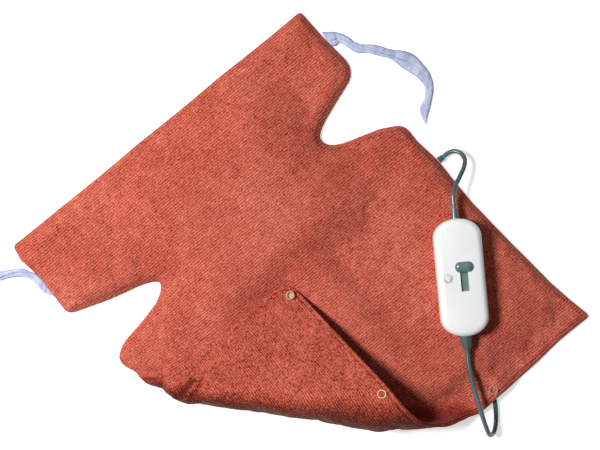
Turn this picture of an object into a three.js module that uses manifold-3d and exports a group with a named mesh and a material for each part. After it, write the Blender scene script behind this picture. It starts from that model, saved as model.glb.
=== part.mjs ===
// Heating pad with an in-line controller, modelled in millimetres with +Z up.
// The pad is a cape shape: a collar, two neck notches and a back panel.
// It lies on its underside, with the lower left corner folded up and over.
// +X runs along the collar, +Y from the hem to the collar, and z = 0 is the surface it lies on.
import * as THREE from 'three';
import { mergeVertices } from 'three/addons/utils/BufferGeometryUtils.js';
import Module from 'manifold-3d';

const wasm = await Module();
wasm.setup();

// Clearances shared by all pieces
const GAP = 0.3;
const OVERRUN = 4;

// Pad outline, measured outwards from the middle and down from the collar's top edge
const PAD_DEPTH = 476;
const RIGHT = {
  collar: 212, collarRound: 5, end: 220, endDrop: 91, endRound: 20,
  notch: 113, notchDrop: 131, notchRound: 56,
  shoulder: 223, shoulderDrop: 175, shoulderRound: 12,
  hem: 247, hemRise: 0, hemRound: 10,
};
const LEFT = {
  collar: 212, collarRound: 5, end: 213, endDrop: 98, endRound: 9,
  notch: 87.6, notchDrop: 137.6, notchRound: 44,
  shoulder: 204, shoulderDrop: 170, shoulderRound: 30,
  hem: 205, hemRise: 6, hemRound: 20,
};
const HEM_BOW = { x: 90, sag: 9, round: 70 };
const CORNER_STEPS = 3;

// Layers of the pad, from the underside up
const COVER = 2;
const FELT = 2.2;
const WIRE_SPACE = 3.4;
const ROUND_SHARE = 0.45;
const WIRE = { diameter: 2.2, pitch: 31, round: 9, side: 32, sides: 4, crease: 0.02, snap: 2 };
const CUTOUT = {
  width: 5, length: 12, height: 2.8, x: 150, rowShare: 0.65, otherRowShare: 0.5, foldSpace: 24.775,
};
const JUNCTION = { width: 10, length: 14, height: 2.8, rowShare: 0.5 };
const SEAM_LIFT = 0.6;
const RIM = 18;
const RIM_STEP_SHARE = 0.4;
const RIM_RISE_SHARE = 0.78;
const HEM_BAND = 22;
const HEM_SLOPE = 12;
const HEM_RISE_SHARE = 0.33;

// Fold of the corner. Its radius is that at the flap's tip, and it widens along the fold
const FOLD_ANGLE = -41;
const FOLD_RADIUS = 21.4;
const FOLD_WIDEN_SHARE = 0.076;
const FOLD_STEPS = 9;
const FLAP_REACH = 104.5;
const FLAP_CLEAR = 0.3;

// Cords. Their routes, like all that lies on or under the pad, are measured up from the hem
const CORD = 5.5;
const CORD_SIDES = 8;
const CORD_FLOOR = 0.35;
const INNER_LEAD = 4.4;
const COIL_FLOOR = 1.3;
const COIL_TURNS = 3;
const COIL_PITCH = 6.1;
const COIL_OUTER = 39;
const COIL_RISE = 356;
const LEAD_RAMP = { rise: 288, length: 50 };
const COIL_LOOP_STEPS = 24;
const COIL_SIDES = 6;
const TIE = { width: 6, thick: 0.8, room: 0.5 };

// Controller
const CONTROLLER = {
  x: 161.1, rise: 127.8, turn: -34,
  length: 133.5, width: 54, height: 28, endRise: 21, edge: 7, wall: 2.4, parting: 13,
};
const SLIDER = {
  x: 2.8, y: 12, travel: 22, slotWidth: 9, stemWidth: 8.2, stemLength: 8, slotClear: 1.5,
  knobWidth: 19.5, knobLength: 12.6, knobHeight: 5, knobEdge: 2, knobClear: 0.4, knobWall: 1.8,
  plateThick: 1.4, plateWidth: 14, plateLap: 3, footWidth: 6, footLength: 9,
  railWidth: 1.6, railDepth: 2.4,
};
const LENS = { x: -15.6, y: 0.3, radius: 5, rise: 0.8, flange: 0.7, flangeThick: 1, domeShare: 0.6 };
const POST = { x: 18.5, endSpace: 19.75, radius: 3.4, bore: 1.3, length: 6 };
const SCREW = { head: 2.4, headHeight: 1.6, shank: 1.1, length: 11 };
const BOARD = { width: 28, endSpace: 27.75, thick: 1.6, stand: 3.2, ribShare: 0.8, ribPlaceShare: 0.33 };
const SWITCH = { width: 13, lengthShare: 0.513 };
const LAMP = { radius: 2.6, height: 9 };
const FUSE = { radius: 2.4, x: -9, lengthShare: 0.23, placeShare: -0.23 };
const RESISTOR = { radius: 1.7, x: -9, lengthShare: 0.115, placeShare: 0.18 };
const TERMINAL = { width: 16, length: 8, height: 8 };
const CLAMP = { width: 14, length: 5, height: 4, inset: 14 };
const TOP_RELIEF = { outside: 11.5, neck: 4.4, tip: 3.6, flange: 6, flangeThick: 2, seat: 0.8 };
const BOTTOM_RELIEF = { outside: 14, neck: 7.2, tip: 4.9, flange: 8.6, flangeThick: 2, seat: 2.4 };

// Pad gland, ties and snaps
const ROUND_STEPS = 12;
const GLAND = {
  sideShare: 0.186, length: 7, flange: 4.1, flangeShare: 0.2,
  root: 3.8, rootShare: 0.3, tip: 3.3,
};
const RIBBON = { width: 9.5, thick: 0.9, z: 0.3, rightDrop: 44, leftDrop: 67 };
const SNAP = {
  ring: 4.4, wire: 0.85, inset: 11.4, stud: 4, studThick: 0.8, post: 1.6, postHeight: 1.9,
  socketBore: 2.1, socketThick: 1.3, ringSteps: 14, wireSteps: 6,
};
const SNAP_PLACES = [109.5, -58, -190];

// Plug
const PLUG = {
  width: 26, thick: 13.7, length: 36, edge: 3, taperShare: 0.62, shoulderShare: 0.45,
  pin: 2, pinSpan: 19, pinLength: 19, relief: 16, reliefRoot: 4.6, reliefTip: 3.4,
};

// Values worked out from the sizes above
const TOP_EDGE = PAD_DEPTH / 2;
const THICK = 2 * COVER + 2 * GAP + 2 * FELT + WIRE_SPACE;
const NEUTRAL = THICK / 2;
const RIM_THICK = 2 * COVER + GAP;
const HEM_LINE = TOP_EDGE - PAD_DEPTH;
const BOARD_LENGTH = CONTROLLER.length - 2 * BOARD.endSpace;
const FULL_CIRCLE = 2 * Math.PI;
const radians = THREE.MathUtils.degToRad;

function material(color, roughness, metalness = 0) {
  return new THREE.MeshStandardMaterial({ color, roughness, metalness });
}

const group = new THREE.Group();
const controller = new THREE.Group();

function piece(parent, name, geometry, look) {
  const mesh = new THREE.Mesh(geometry, look.clone());
  mesh.name = name;
  parent.add(mesh);
  return mesh;
}

// Solids for joining and cutting
function solid(geometry) {
  const bare = geometry.clone();
  bare.deleteAttribute('normal');
  bare.deleteAttribute('uv');
  const merged = mergeVertices(bare, 1e-5);
  return new wasm.Manifold(new wasm.Mesh({
    numProp: 3,
    vertProperties: new Float32Array(merged.attributes.position.array),
    triVerts: new Uint32Array(merged.index.array),
  }));
}

function geometryOf(manifold) {
  const mesh = manifold.getMesh();
  const geometry = new THREE.BufferGeometry();
  const positions = new Float32Array(mesh.numVert * 3);
  for (let i = 0; i < mesh.numVert; i += 1) {
    for (let k = 0; k < 3; k += 1) positions[i * 3 + k] = mesh.vertProperties[i * mesh.numProp + k];
  }
  geometry.setAttribute('position', new THREE.BufferAttribute(positions, 3));
  geometry.setIndex(Array.from(mesh.triVerts));
  geometry.computeVertexNormals();
  return geometry;
}

function box(width, length, height, x, y, z) {
  return new THREE.BoxGeometry(width, length, height).translate(x, y, z + height / 2);
}

function upright(radius, height, x, y, z, sides = 16) {
  const geometry = new THREE.CylinderGeometry(radius, radius, height, sides);
  return geometry.rotateX(Math.PI / 2).translate(x, y, z + height / 2);
}

// Pad outline: sharp corners in turn, each with the length of its rounding
function sideCorners(side, sign) {
  const corner = (x, drop, round) => ({ x: sign * x, y: TOP_EDGE - drop, round });
  return [
    corner(side.collar, 0, side.collarRound),
    corner(side.end, side.endDrop, side.endRound),
    corner(side.notch, side.notchDrop, side.notchRound),
    corner(side.shoulder, side.shoulderDrop, side.shoulderRound),
    corner(side.hem, PAD_DEPTH - side.hemRise, side.hemRound),
  ];
}

const corners = [
  ...sideCorners(LEFT, -1),
  { x: HEM_BOW.x, y: HEM_LINE - HEM_BOW.sag, round: HEM_BOW.round },
  ...sideCorners(RIGHT, 1).reverse(),
];

function cross(a, b) {
  return a.x * b.y - a.y * b.x;
}

// The outline and its inner ring have the same count of points, one for one
function outlineRings() {
  const outer = [];
  const inner = [];
  corners.forEach((corner, index) => {
    const before = corners[(index + corners.length - 1) % corners.length];
    const after = corners[(index + 1) % corners.length];
    const here = new THREE.Vector2(corner.x, corner.y);
    const into = here.clone().sub(new THREE.Vector2(before.x, before.y)).normalize();
    const away = new THREE.Vector2(after.x, after.y).sub(here).normalize();
    const bend = cross(into, away);
    const miter = new THREE.Vector2(-into.y - away.y, into.x + away.x).normalize();
    const reach = RIM / miter.dot(new THREE.Vector2(-into.y, into.x));
    const inside = here.clone().addScaledVector(miter, reach);
    const innerRound = bend < 0 ? corner.round + RIM : Math.max(corner.round - reach * 2, 0);
    for (let step = 0; step <= CORNER_STEPS; step += 1) {
      const t = step / CORNER_STEPS;
      const bezier = (point, round) => {
        const start = point.clone().addScaledVector(into, -round);
        const end = point.clone().addScaledVector(away, round);
        return start.lerp(point, t).lerp(point.clone().lerp(end, t), t);
      };
      outer.push(bezier(here, corner.round));
      inner.push(bezier(inside, innerRound));
    }
  });
  return { outer, inner };
}

// Fold direction, and how far a point of the flat pad lies towards the folded corner
const foldAxis = new THREE.Vector2(Math.cos(radians(FOLD_ANGLE)), Math.sin(radians(FOLD_ANGLE)));
const foldOut = new THREE.Vector2(foldAxis.y, -foldAxis.x);
const foldPivot = new THREE.Vector2(0, TOP_EDGE);

function outward(x, y) {
  return (x - foldPivot.x) * foldOut.x + (y - foldPivot.y) * foldOut.y;
}

function along(x, y) {
  return (x - foldPivot.x) * foldAxis.x + (y - foldPivot.y) * foldAxis.y;
}

// The flap leans down until the inner edge of its rim lies on the pad
const tipAlong = along(-LEFT.hem, HEM_LINE + LEFT.hemRise);
const tipOut = outward(-LEFT.hem, HEM_LINE + LEFT.hemRise);
const foldStart = tipOut - RIM * Math.SQRT2 - FLAP_REACH - Math.PI * FOLD_RADIUS;
const flapDrop = 2 * FOLD_RADIUS - THICK - FLAP_CLEAR;
const foldTurn = Math.PI + Math.atan2(flapDrop, FLAP_REACH);

// Where the fold starts, at a height y of the flat pad
function foldX(y) {
  return foldPivot.x + (foldStart - (y - foldPivot.y) * foldOut.y) / foldOut.x;
}

function foldRadius(x, y) {
  return FOLD_RADIUS + FOLD_WIDEN_SHARE * (along(x, y) - tipAlong);
}

function smooth(value) {
  const t = THREE.MathUtils.clamp(value, 0, 1);
  return t * t * (3 - 2 * t);
}

// Routes of the leads: over the pad, then under it to the coil, and from the coil to the plug
const coilCentre = { x: -4, y: HEM_LINE + COIL_RISE };
const coilLow = COIL_FLOOR + CORD / 2;
const coilHigh = coilLow + COIL_PITCH;
const floorZ = CORD_FLOOR + CORD / 2;
const coilStart = coilCentre.x + COIL_OUTER;
const fromHem = ([x, y, z]) => [x, HEM_LINE + y, z];
const mainsOver = [
  [115.8, 60.6, 25.7], [112.2, 55.3, 25.8], [105.6, 45.4, 26.4], [98.6, 31.8, 27.2],
  [91.2, 16.4, 28], [84.6, 0.8, 28.4], [78.6, -14.4, 27.2], [74.6, -26.6, 22.6],
  [74, -34, 14.8], [79.6, -35.4, 6.6], [88.4, -28.8, 3.2], [97, -18.4, floorZ],
].map(fromHem);
const mainsUnder = [
  [104.2, -7], [108.4, 2.4], [109.2, 12.4], [106.2, 23.4], [98.6, 32.4], [86.4, 44.1],
  [73.6, 56.5], [60.8, 68.9], [49.2, 80.2], [41.2, 89.6], [36.6, 100.6], [coilStart, 114],
  [coilStart, 138], [coilStart, 168], [coilStart, 198], [coilStart, 228], [coilStart, 258],
  [coilStart, 288], [coilStart, 314], [coilStart, 332], [coilStart, 342],
  [coilStart, COIL_RISE - CORD - GAP],
].map(([x, y]) => {
  const share = smooth((y - LEAD_RAMP.rise) / LEAD_RAMP.length);
  return fromHem([x, y, THREE.MathUtils.lerp(floorZ, coilLow, share)]);
});
const mainsRoute = [...mainsOver, ...mainsUnder];
const padLeadRoute = [
  [235.6, 245, 4.6], [241.2, 244.9, 5.2], [248.2, 242.2, 7.2], [252.2, 235.4, 10.6], [250.8, 227.4, 14.4],
  [243.6, 221, 17.8], [233.4, 216.2, 21], [222, 211, 24], [214, 205.2, 25.5], [209, 198.8, 25.7],
  [205, 192.9, 25.7],
].map(fromHem);
const plugZ = GAP + PLUG.thick / 2;
const tailRoute = [
  [coilStart, COIL_RISE + CORD + GAP, coilHigh], [coilStart, 368, coilHigh], [36.8, 375.4, 9.9],
  [41.6, 380.6, 9.5], [48.5, 382.6, 8.9], [55.4, 380.6, 8.2], [60.2, 375.4, 7.6], [62, 368, plugZ],
  [62, 362, plugZ],
].map(fromHem);
// Ribbon routes start at the seam on each end of the collar
const collarSeam = (side, sign, drop) => {
  const reach = side.collar + ((side.end - side.collar) * drop) / side.endDrop;
  return ([x, y]) => [sign * reach + x, TOP_EDGE - drop + y];
};
const ribbonRightRoute = [
  [0.3, 0], [3.8, 0.3], [10.3, -1.5], [14.7, -7], [18.6, -17], [22.6, -28.5], [32.7, -38.8],
  [43.1, -52.5], [52.6, -64.6], [58.8, -77.1], [62.6, -90.6], [62.7, -104], [56.3, -116],
  [48.8, -124.8], [39.5, -133], [27, -145.5],
].map(collarSeam(RIGHT, 1, RIBBON.rightDrop));
const ribbonLeftRoute = [
  [-0.4, 0], [-3.7, 0.1], [-8.7, 2.6], [-10.9, 10.5], [-10.7, 23], [-12.3, 36], [-18.7, 45],
  [-28.3, 50.7], [-39.3, 55], [-51.3, 61], [-61.3, 71], [-67.3, 84], [-71.3, 99], [-77.3, 113],
  [-88.3, 123],
].map(collarSeam(LEFT, -1, RIBBON.leftDrop));

// What lies under the pad: the lead's hidden run, then the coil with the plug beside it
const MOUND = { left: -50, right: 79, front: 283, back: 403, foot: 50, frontFoot: 36, rise: 14.6 };
const RIDGE = {
  half: 9, foot: 30, rise: 8.4, slantX: 73.6, slantY: 56.5,
  bends: [12.4, 32.4, 80.2, 114],
};

function distanceToLead(x, y) {
  let least = Infinity;
  for (let i = 0; i < mainsUnder.length - 1; i += 1) {
    const [ax, ay] = mainsUnder[i];
    const [bx, by] = mainsUnder[i + 1];
    const run = (bx - ax) ** 2 + (by - ay) ** 2;
    const t = THREE.MathUtils.clamp(((x - ax) * (bx - ax) + (y - ay) * (by - ay)) / run, 0, 1);
    least = Math.min(least, Math.hypot(x - ax - t * (bx - ax), y - ay - t * (by - ay)));
  }
  return least;
}

function liftAt(x, y) {
  const up = y - HEM_LINE;
  const sideways = Math.max(MOUND.left - x, x - MOUND.right, 0);
  const lengthways = Math.max((MOUND.front - up) / MOUND.frontFoot, (up - MOUND.back) / MOUND.foot, 0);
  const mound = MOUND.rise * smooth(1 - sideways / MOUND.foot) * smooth(1 - lengthways);
  const ridge = RIDGE.rise * smooth((RIDGE.foot - distanceToLead(x, y)) / (RIDGE.foot - RIDGE.half));
  return Math.max(mound, ridge);
}

// Where a point of the flat pad, h above its underside, comes to lie
function lay(x, y, h) {
  const out = outward(x, y);
  if (out <= foldStart) return new THREE.Vector3(x, y, h + liftAt(x, y));
  const radius = foldRadius(x, y);
  const turn = Math.min((out - foldStart) / radius, foldTurn);
  const over = Math.max(out - foldStart - foldTurn * radius, 0);
  const bend = radius - h + NEUTRAL;
  const reach = foldStart + bend * Math.sin(turn) + over * Math.cos(turn);
  const z = NEUTRAL + radius - bend * Math.cos(turn) + over * Math.sin(turn);
  const place = foldPivot.clone().addScaledVector(foldAxis, along(x, y)).addScaledVector(foldOut, reach);
  return new THREE.Vector3(place.x, place.y, z);
}

// The flat pad as convex cells. Each point has a rise: 0 at the outline, 1 inside the rim
const POINT_STEP = 0.02;
const SNAP_DISTANCE = 0.4;
const STRAIGHT = 1e-6;
const FULL_SHARE = 0.999;

function addPoint(mesh, x, y, rise) {
  const column = Math.round(x / POINT_STEP);
  const row = Math.round(y / POINT_STEP);
  for (let i = column - 1; i <= column + 1; i += 1) {
    for (let j = row - 1; j <= row + 1; j += 1) {
      const found = mesh.keys.get(`${i},${j}`);
      if (found !== undefined) return found;
    }
  }
  mesh.keys.set(`${column},${row}`, mesh.points.length);
  mesh.points.push({ x, y, rise });
  return mesh.points.length - 1;
}

function addCell(mesh, cells, ids) {
  const cell = ids.filter((id, i) => id !== ids[(i + 1) % ids.length]);
  if (cell.length > 2) cells.push(cell);
}

function turnAt(mesh, a, b, c) {
  const [p, q, r] = [a, b, c].map((id) => mesh.points[id]);
  return (q.x - p.x) * (r.y - q.y) - (q.y - p.y) * (r.x - q.x);
}

function isConvex(mesh, cell) {
  const last = cell.length;
  return cell.every((id, i) => turnAt(mesh, id, cell[(i + 1) % last], cell[(i + 2) % last]) > -STRAIGHT);
}

// Joins two cells that share an edge, or gives null
function joinCells(first, second) {
  for (let i = 0; i < first.length; i += 1) {
    const a = first[i];
    const b = first[(i + 1) % first.length];
    const j = second.indexOf(b);
    if (j >= 0 && second[(j + 1) % second.length] === a) {
      const ahead = first.map((id, k) => first[(i + 1 + k) % first.length]);
      const rest = second.map((id, k) => second[(j + 2 + k) % second.length]).slice(0, -2);
      return [...ahead, ...rest];
    }
  }
  return null;
}

function mergeConvex(mesh, cells) {
  for (let i = 0; i < cells.length; i += 1) {
    for (let j = i + 1; j < cells.length; j += 1) {
      const joined = joinCells(cells[i], cells[j]);
      if (joined && isConvex(mesh, joined)) {
        cells[i] = joined;
        cells.splice(j, 1);
        j = i;
      }
    }
  }
}

function flatMesh() {
  const mesh = { points: [], cells: [], keys: new Map() };
  const { outer, inner } = outlineRings();
  const count = outer.length;
  const rings = [outer, outer.map((p, i) => p.clone().lerp(inner[i], RIM_STEP_SHARE)), inner];
  const rises = [0, RIM_RISE_SHARE, 1];
  const ids = rings.map((ring, k) => ring.map((p) => addPoint(mesh, p.x, p.y, rises[k])));
  const core = ids[2].filter((id, i) => id !== ids[2][(i + 1) % count]);
  const contour = core.map((id) => new THREE.Vector2(mesh.points[id].x, mesh.points[id].y));
  for (const triangle of THREE.ShapeUtils.triangulateShape(contour, [])) {
    mesh.cells.push(triangle.map((k) => core[k]));
  }
  mergeConvex(mesh, mesh.cells);
  for (let k = 0; k < 2; k += 1) {
    for (let i = 0; i < count; i += 1) {
      const j = (i + 1) % count;
      addCell(mesh, mesh.cells, [ids[k][i], ids[k][j], ids[k + 1][j], ids[k + 1][i]]);
    }
  }
  return mesh;
}

// Cuts every cell that crosses the line where x * nx + y * ny equals the distance
function cutMesh(mesh, nx, ny, distance) {
  const away = mesh.points.map((p) => p.x * nx + p.y * ny - distance);
  const side = away.map((value) => (Math.abs(value) < SNAP_DISTANCE ? 0 : Math.sign(value)));
  const old = mesh.cells;
  mesh.cells = [];
  for (const cell of old) {
    if (!cell.some((id) => side[id] > 0) || !cell.some((id) => side[id] < 0)) {
      mesh.cells.push(cell);
      continue;
    }
    const above = [];
    const below = [];
    cell.forEach((id, i) => {
      const next = cell[(i + 1) % cell.length];
      if (side[id] >= 0) above.push(id);
      if (side[id] <= 0) below.push(id);
      if (side[id] * side[next] < 0) {
        const [a, b] = id < next ? [id, next] : [next, id];
        const t = away[a] / (away[a] - away[b]);
        const [p, q] = [mesh.points[a], mesh.points[b]];
        const mid = (key) => THREE.MathUtils.lerp(p[key], q[key], t);
        const cut = addPoint(mesh, mid('x'), mid('y'), mid('rise'));
        above.push(cut);
        below.push(cut);
      }
    });
    addCell(mesh, mesh.cells, above);
    addCell(mesh, mesh.cells, below);
  }
}

function trianglesOf(mesh) {
  return mesh.cells.flatMap((cell) => {
    const flat = cell.map((id) => new THREE.Vector2(mesh.points[id].x, mesh.points[id].y));
    return THREE.ShapeUtils.triangulateShape(flat, []).map((face) => face.map((k) => cell[k]));
  });
}

const sheet = flatMesh();
const pivotOut = foldPivot.dot(foldOut);
const pivotAlong = foldPivot.dot(foldAxis);
function cutAcross(distances, nx, ny) {
  for (const distance of distances) cutMesh(sheet, nx, ny, distance);
}

const { left, right, front, back, foot, frontFoot } = MOUND;
cutAcross([left - foot, left, right, right + foot], 1, 0);
cutAcross([front - frontFoot, front, back, back + foot].map((rise) => HEM_LINE + rise), 0, 1);
cutAcross([-RIDGE.foot, -RIDGE.half, RIDGE.half, RIDGE.foot].map((offset) => coilStart + offset), 1, 0);
const slantOut = outward(RIDGE.slantX, HEM_LINE + RIDGE.slantY) + pivotOut;
cutAcross([-RIDGE.foot, -RIDGE.half, RIDGE.half].map((offset) => slantOut + offset), foldOut.x, foldOut.y);
cutAcross([HEM_BAND, HEM_BAND + HEM_SLOPE, ...RIDGE.bends].map((rise) => HEM_LINE + rise), 0, 1);
for (let step = 0; step <= FOLD_STEPS; step += 1) {
  const turn = (step / FOLD_STEPS) * foldTurn;
  const slant = turn * FOLD_WIDEN_SHARE;
  const line = foldOut.clone().addScaledVector(foldAxis, -slant);
  cutMesh(sheet, line.x, line.y, foldStart + pivotOut + turn * FOLD_RADIUS - slant * (tipAlong + pivotAlong));
}

sheet.triangles = trianglesOf(sheet);

// How full the pad is at a point: thin at its outline and in the band along the hem
function fullness(point) {
  const band = (point.y - HEM_LINE - HEM_BAND) / HEM_SLOPE;
  const limit = HEM_RISE_SHARE + (1 - HEM_RISE_SHARE) * THREE.MathUtils.clamp(band, 0, 1);
  return Math.min(point.rise, limit);
}

function topOf(point) {
  return THREE.MathUtils.lerp(RIM_THICK, THICK, fullness(point));
}

// A layer of the pad between two heights, over the chosen triangles of the flat mesh
function layer(triangles, low, high) {
  const ids = new Map();
  const positions = [];
  const indices = [];
  const vertex = (id) => {
    if (!ids.has(id)) {
      ids.set(id, ids.size);
      const point = sheet.points[id];
      positions.push(...lay(point.x, point.y, low(point)).toArray());
      positions.push(...lay(point.x, point.y, high(point)).toArray());
    }
    return ids.get(id) * 2;
  };
  const edges = new Set(triangles.flatMap(([a, b, c]) => [`${a},${b}`, `${b},${c}`, `${c},${a}`]));
  for (const [a, b, c] of triangles) {
    const [i, j, k] = [vertex(a), vertex(b), vertex(c)];
    indices.push(i + 1, j + 1, k + 1, i, k, j);
    for (const [p, q] of [[a, b], [b, c], [c, a]]) {
      if (!edges.has(`${q},${p}`)) {
        const [u, v] = [vertex(p), vertex(q)];
        indices.push(u, v, v + 1, u, v + 1, u + 1);
      }
    }
  }
  const geometry = new THREE.BufferGeometry();
  geometry.setAttribute('position', new THREE.Float32BufferAttribute(positions, 3));
  geometry.setIndex(indices);
  geometry.computeVertexNormals();
  return geometry;
}

const plush = material(0xb9513f, 0.95);
const felt = material(0xe8e2d4, 0.95);
const isFull = (id) => fullness(sheet.points[id]) > FULL_SHARE;
const coreTriangles = sheet.triangles.filter((triangle) => triangle.every(isFull));
const feltTop = THICK - COVER - GAP;

const rimLift = (p) => SEAM_LIFT * (1 - Math.min(p.rise / RIM_RISE_SHARE, 1));
const feltLow = COVER + GAP;
piece(group, 'cover_back', layer(sheet.triangles, rimLift, () => COVER), plush);
piece(group, 'cover_front', layer(sheet.triangles, (p) => topOf(p) - COVER, topOf), plush);
piece(group, 'inner_pad_back', layer(coreTriangles, () => feltLow, () => feltLow + FELT), felt);
piece(group, 'inner_pad_front', layer(coreTriangles, () => feltTop - FELT, () => feltTop), felt);

// A point of the faceted pad, at a height above its underside
function weights(triangle, x, y) {
  const [a, b, c] = triangle.map((id) => sheet.points[id]);
  const area = (b.x - a.x) * (c.y - a.y) - (b.y - a.y) * (c.x - a.x);
  const wa = ((b.x - x) * (c.y - y) - (b.y - y) * (c.x - x)) / area;
  const wb = ((c.x - x) * (a.y - y) - (c.y - y) * (a.x - x)) / area;
  return [wa, wb, 1 - wa - wb];
}

function onSheet(x, y, h) {
  let best = null;
  for (const triangle of sheet.triangles) {
    const share = weights(triangle, x, y);
    const least = Math.min(...share);
    if (!best || least > best.least) best = { triangle, share, least };
    if (least > 0) break;
  }
  const place = new THREE.Vector3();
  best.triangle.forEach((id, k) => {
    const point = sheet.points[id];
    place.addScaledVector(lay(point.x, point.y, h), best.share[k]);
  });
  return place;
}

function frameOnSheet(x, y, h) {
  const reach = SNAP.wire;
  const here = onSheet(x, y, h);
  const right = onSheet(x + reach, y, h).sub(here).normalize();
  const ahead = onSheet(x, y + reach, h).sub(here);
  const normal = right.clone().cross(ahead).normalize();
  const turn = new THREE.Matrix4().makeBasis(right, normal.clone().cross(right), normal);
  return { here, quaternion: new THREE.Quaternion().setFromRotationMatrix(turn) };
}

// A closed tube through points, whose rings are given as offsets from each point
function ringTube(rings) {
  const sides = rings[0].length;
  const positions = rings.flat().flatMap((p) => p.toArray());
  const indices = [];
  for (let i = 0; i < rings.length - 1; i += 1) {
    for (let k = 0; k < sides; k += 1) {
      const next = (k + 1) % sides;
      const [a, b] = [i * sides + k, i * sides + next];
      const [c, d] = [a + sides, b + sides];
      indices.push(a, b, d, a, d, c);
    }
  }
  const last = (rings.length - 1) * sides;
  for (let k = 1; k < sides - 1; k += 1) {
    indices.push(0, k + 1, k, last, last + k, last + k + 1);
  }
  const geometry = new THREE.BufferGeometry();
  geometry.setAttribute('position', new THREE.Float32BufferAttribute(positions, 3));
  geometry.setIndex(indices);
  geometry.computeVertexNormals();
  return geometry;
}

// Heating wire: one serpentine in the gap between the inner pads
function sideX(y, sign) {
  const { inner } = outlineRings();
  let best = sign * PAD_DEPTH;
  inner.forEach((p, i) => {
    const q = inner[(i + 1) % inner.length];
    if ((p.y - y) * (q.y - y) <= 0 && p.y !== q.y) {
      const x = p.x + ((q.x - p.x) * (y - p.y)) / (q.y - p.y);
      if (x * sign > 0) best = Math.abs(x) < Math.abs(best) ? x : best;
    }
  });
  return best;
}

function wirePath() {
  const path = [];
  const top = TOP_EDGE - RIM - WIRE.pitch / 2;
  const bottom = HEM_LINE + HEM_BAND + HEM_SLOPE + WIRE.pitch / 2;
  const rows = Math.floor((top - bottom) / WIRE.pitch);
  for (let row = 0; row <= rows; row += 1) {
    const y = top - row * WIRE.pitch;
    const reach = WIRE.pitch / 2;
    const limit = (sign) => {
      const ways = [-1, 0, 1].map((k) => Math.abs(sideX(y + k * reach, sign)));
      return sign * Math.min(...ways);
    };
    const inset = WIRE.side - RIM;
    const ends = [limit(-1) + inset, limit(1) - inset];
    if (row % 2 === 0) ends.reverse();
    path.push([ends[0], y], [ends[1], y]);
  }
  return path;
}

function roundPath(points, round) {
  const path = [points[0]];
  for (let i = 1; i < points.length - 1; i += 1) {
    const here = new THREE.Vector2(...points[i]);
    const into = new THREE.Vector2(...points[i - 1]).sub(here);
    const away = new THREE.Vector2(...points[i + 1]).sub(here);
    const from = here.clone().addScaledVector(into, Math.min(round / into.length(), ROUND_SHARE));
    const to = here.clone().addScaledVector(away, Math.min(round / away.length(), ROUND_SHARE));
    const middle = from.clone().lerp(to, 1 / 2).lerp(here, 1 / 2);
    path.push(from.toArray(), middle.toArray(), to.toArray());
  }
  path.push(points[points.length - 1]);
  return path;
}

function creases() {
  const edges = new Map();
  for (const triangle of coreTriangles) {
    const [a, b, c] = triangle.map((id) => lay(sheet.points[id].x, sheet.points[id].y, NEUTRAL));
    const normal = b.sub(a).cross(c.sub(a)).normalize();
    for (let k = 0; k < 3; k += 1) {
      const [p, q] = [triangle[k], triangle[(k + 1) % 3]].sort((u, v) => u - v);
      const key = `${p},${q}`;
      if (!edges.has(key)) edges.set(key, { p: sheet.points[p], q: sheet.points[q], normals: [] });
      edges.get(key).normals.push(normal);
    }
  }
  return [...edges.values()].filter(({ normals }) => normals.length === 2
    && normals[0].distanceTo(normals[1]) > WIRE.crease);
}

function heatingWire() {
  const route = roundPath(wirePath(), WIRE.round);
  const folds = creases();
  const path = [route[0]];
  for (let i = 0; i < route.length - 1; i += 1) {
    const [ax, ay] = route[i];
    const [bx, by] = route[i + 1];
    const span = Math.hypot(bx - ax, by - ay);
    const cuts = [];
    for (const { p, q } of folds) {
      const base = (bx - ax) * (q.y - p.y) - (by - ay) * (q.x - p.x);
      if (Math.abs(base) < STRAIGHT) continue;
      const t = ((p.x - ax) * (q.y - p.y) - (p.y - ay) * (q.x - p.x)) / base;
      const s = ((p.x - ax) * (by - ay) - (p.y - ay) * (bx - ax)) / base;
      if (t > 0 && t < 1 && s >= 0 && s <= 1) cuts.push(t);
    }
    let last = 0;
    for (const t of cuts.sort((u, v) => u - v)) {
      if ((t - last) * span > WIRE.snap && (1 - t) * span > WIRE.snap) {
        path.push([ax + (bx - ax) * t, ay + (by - ay) * t]);
        last = t;
      }
    }
    path.push([bx, by]);
  }
  const rings = path.map(([x, y], i) => {
    const [px, py] = path[Math.max(i - 1, 0)];
    const [nx, ny] = path[Math.min(i + 1, path.length - 1)];
    const run = Math.hypot(nx - px, ny - py);
    const [sideU, sideV] = [-(ny - py) / run, (nx - px) / run];
    return Array.from({ length: WIRE.sides }, (_, k) => {
      const angle = (k / WIRE.sides) * FULL_CIRCLE;
      const offset = (WIRE.diameter / 2) * Math.cos(angle);
      const rise = (WIRE.diameter / 2) * Math.sin(angle);
      return onSheet(x + sideU * offset, y + sideV * offset, NEUTRAL + rise);
    });
  });
  return ringTube(rings);
}

const wireLook = material(0xd9d4c8, 0.6);
piece(group, 'heating_wire', heatingWire(), wireLook);

// Thermal cut-outs and the junction of lead and wire, on flat parts of the inner pad
const wireRows = wirePath();

// The middle between two rows whose turn is at the left
function between(share) {
  const pairs = (wireRows.length / 2 - 1) / 2;
  const row = 2 * Math.round(pairs * share);
  return (wireRows[row * 2][1] + wireRows[row * 2 + 2][1]) / 2;
}
const dark = material(0x3c4648, 0.5);

function betweenPads(size, x, y) {
  return box(size.length, size.width, size.height, x, y, NEUTRAL - size.height / 2);
}

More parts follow.
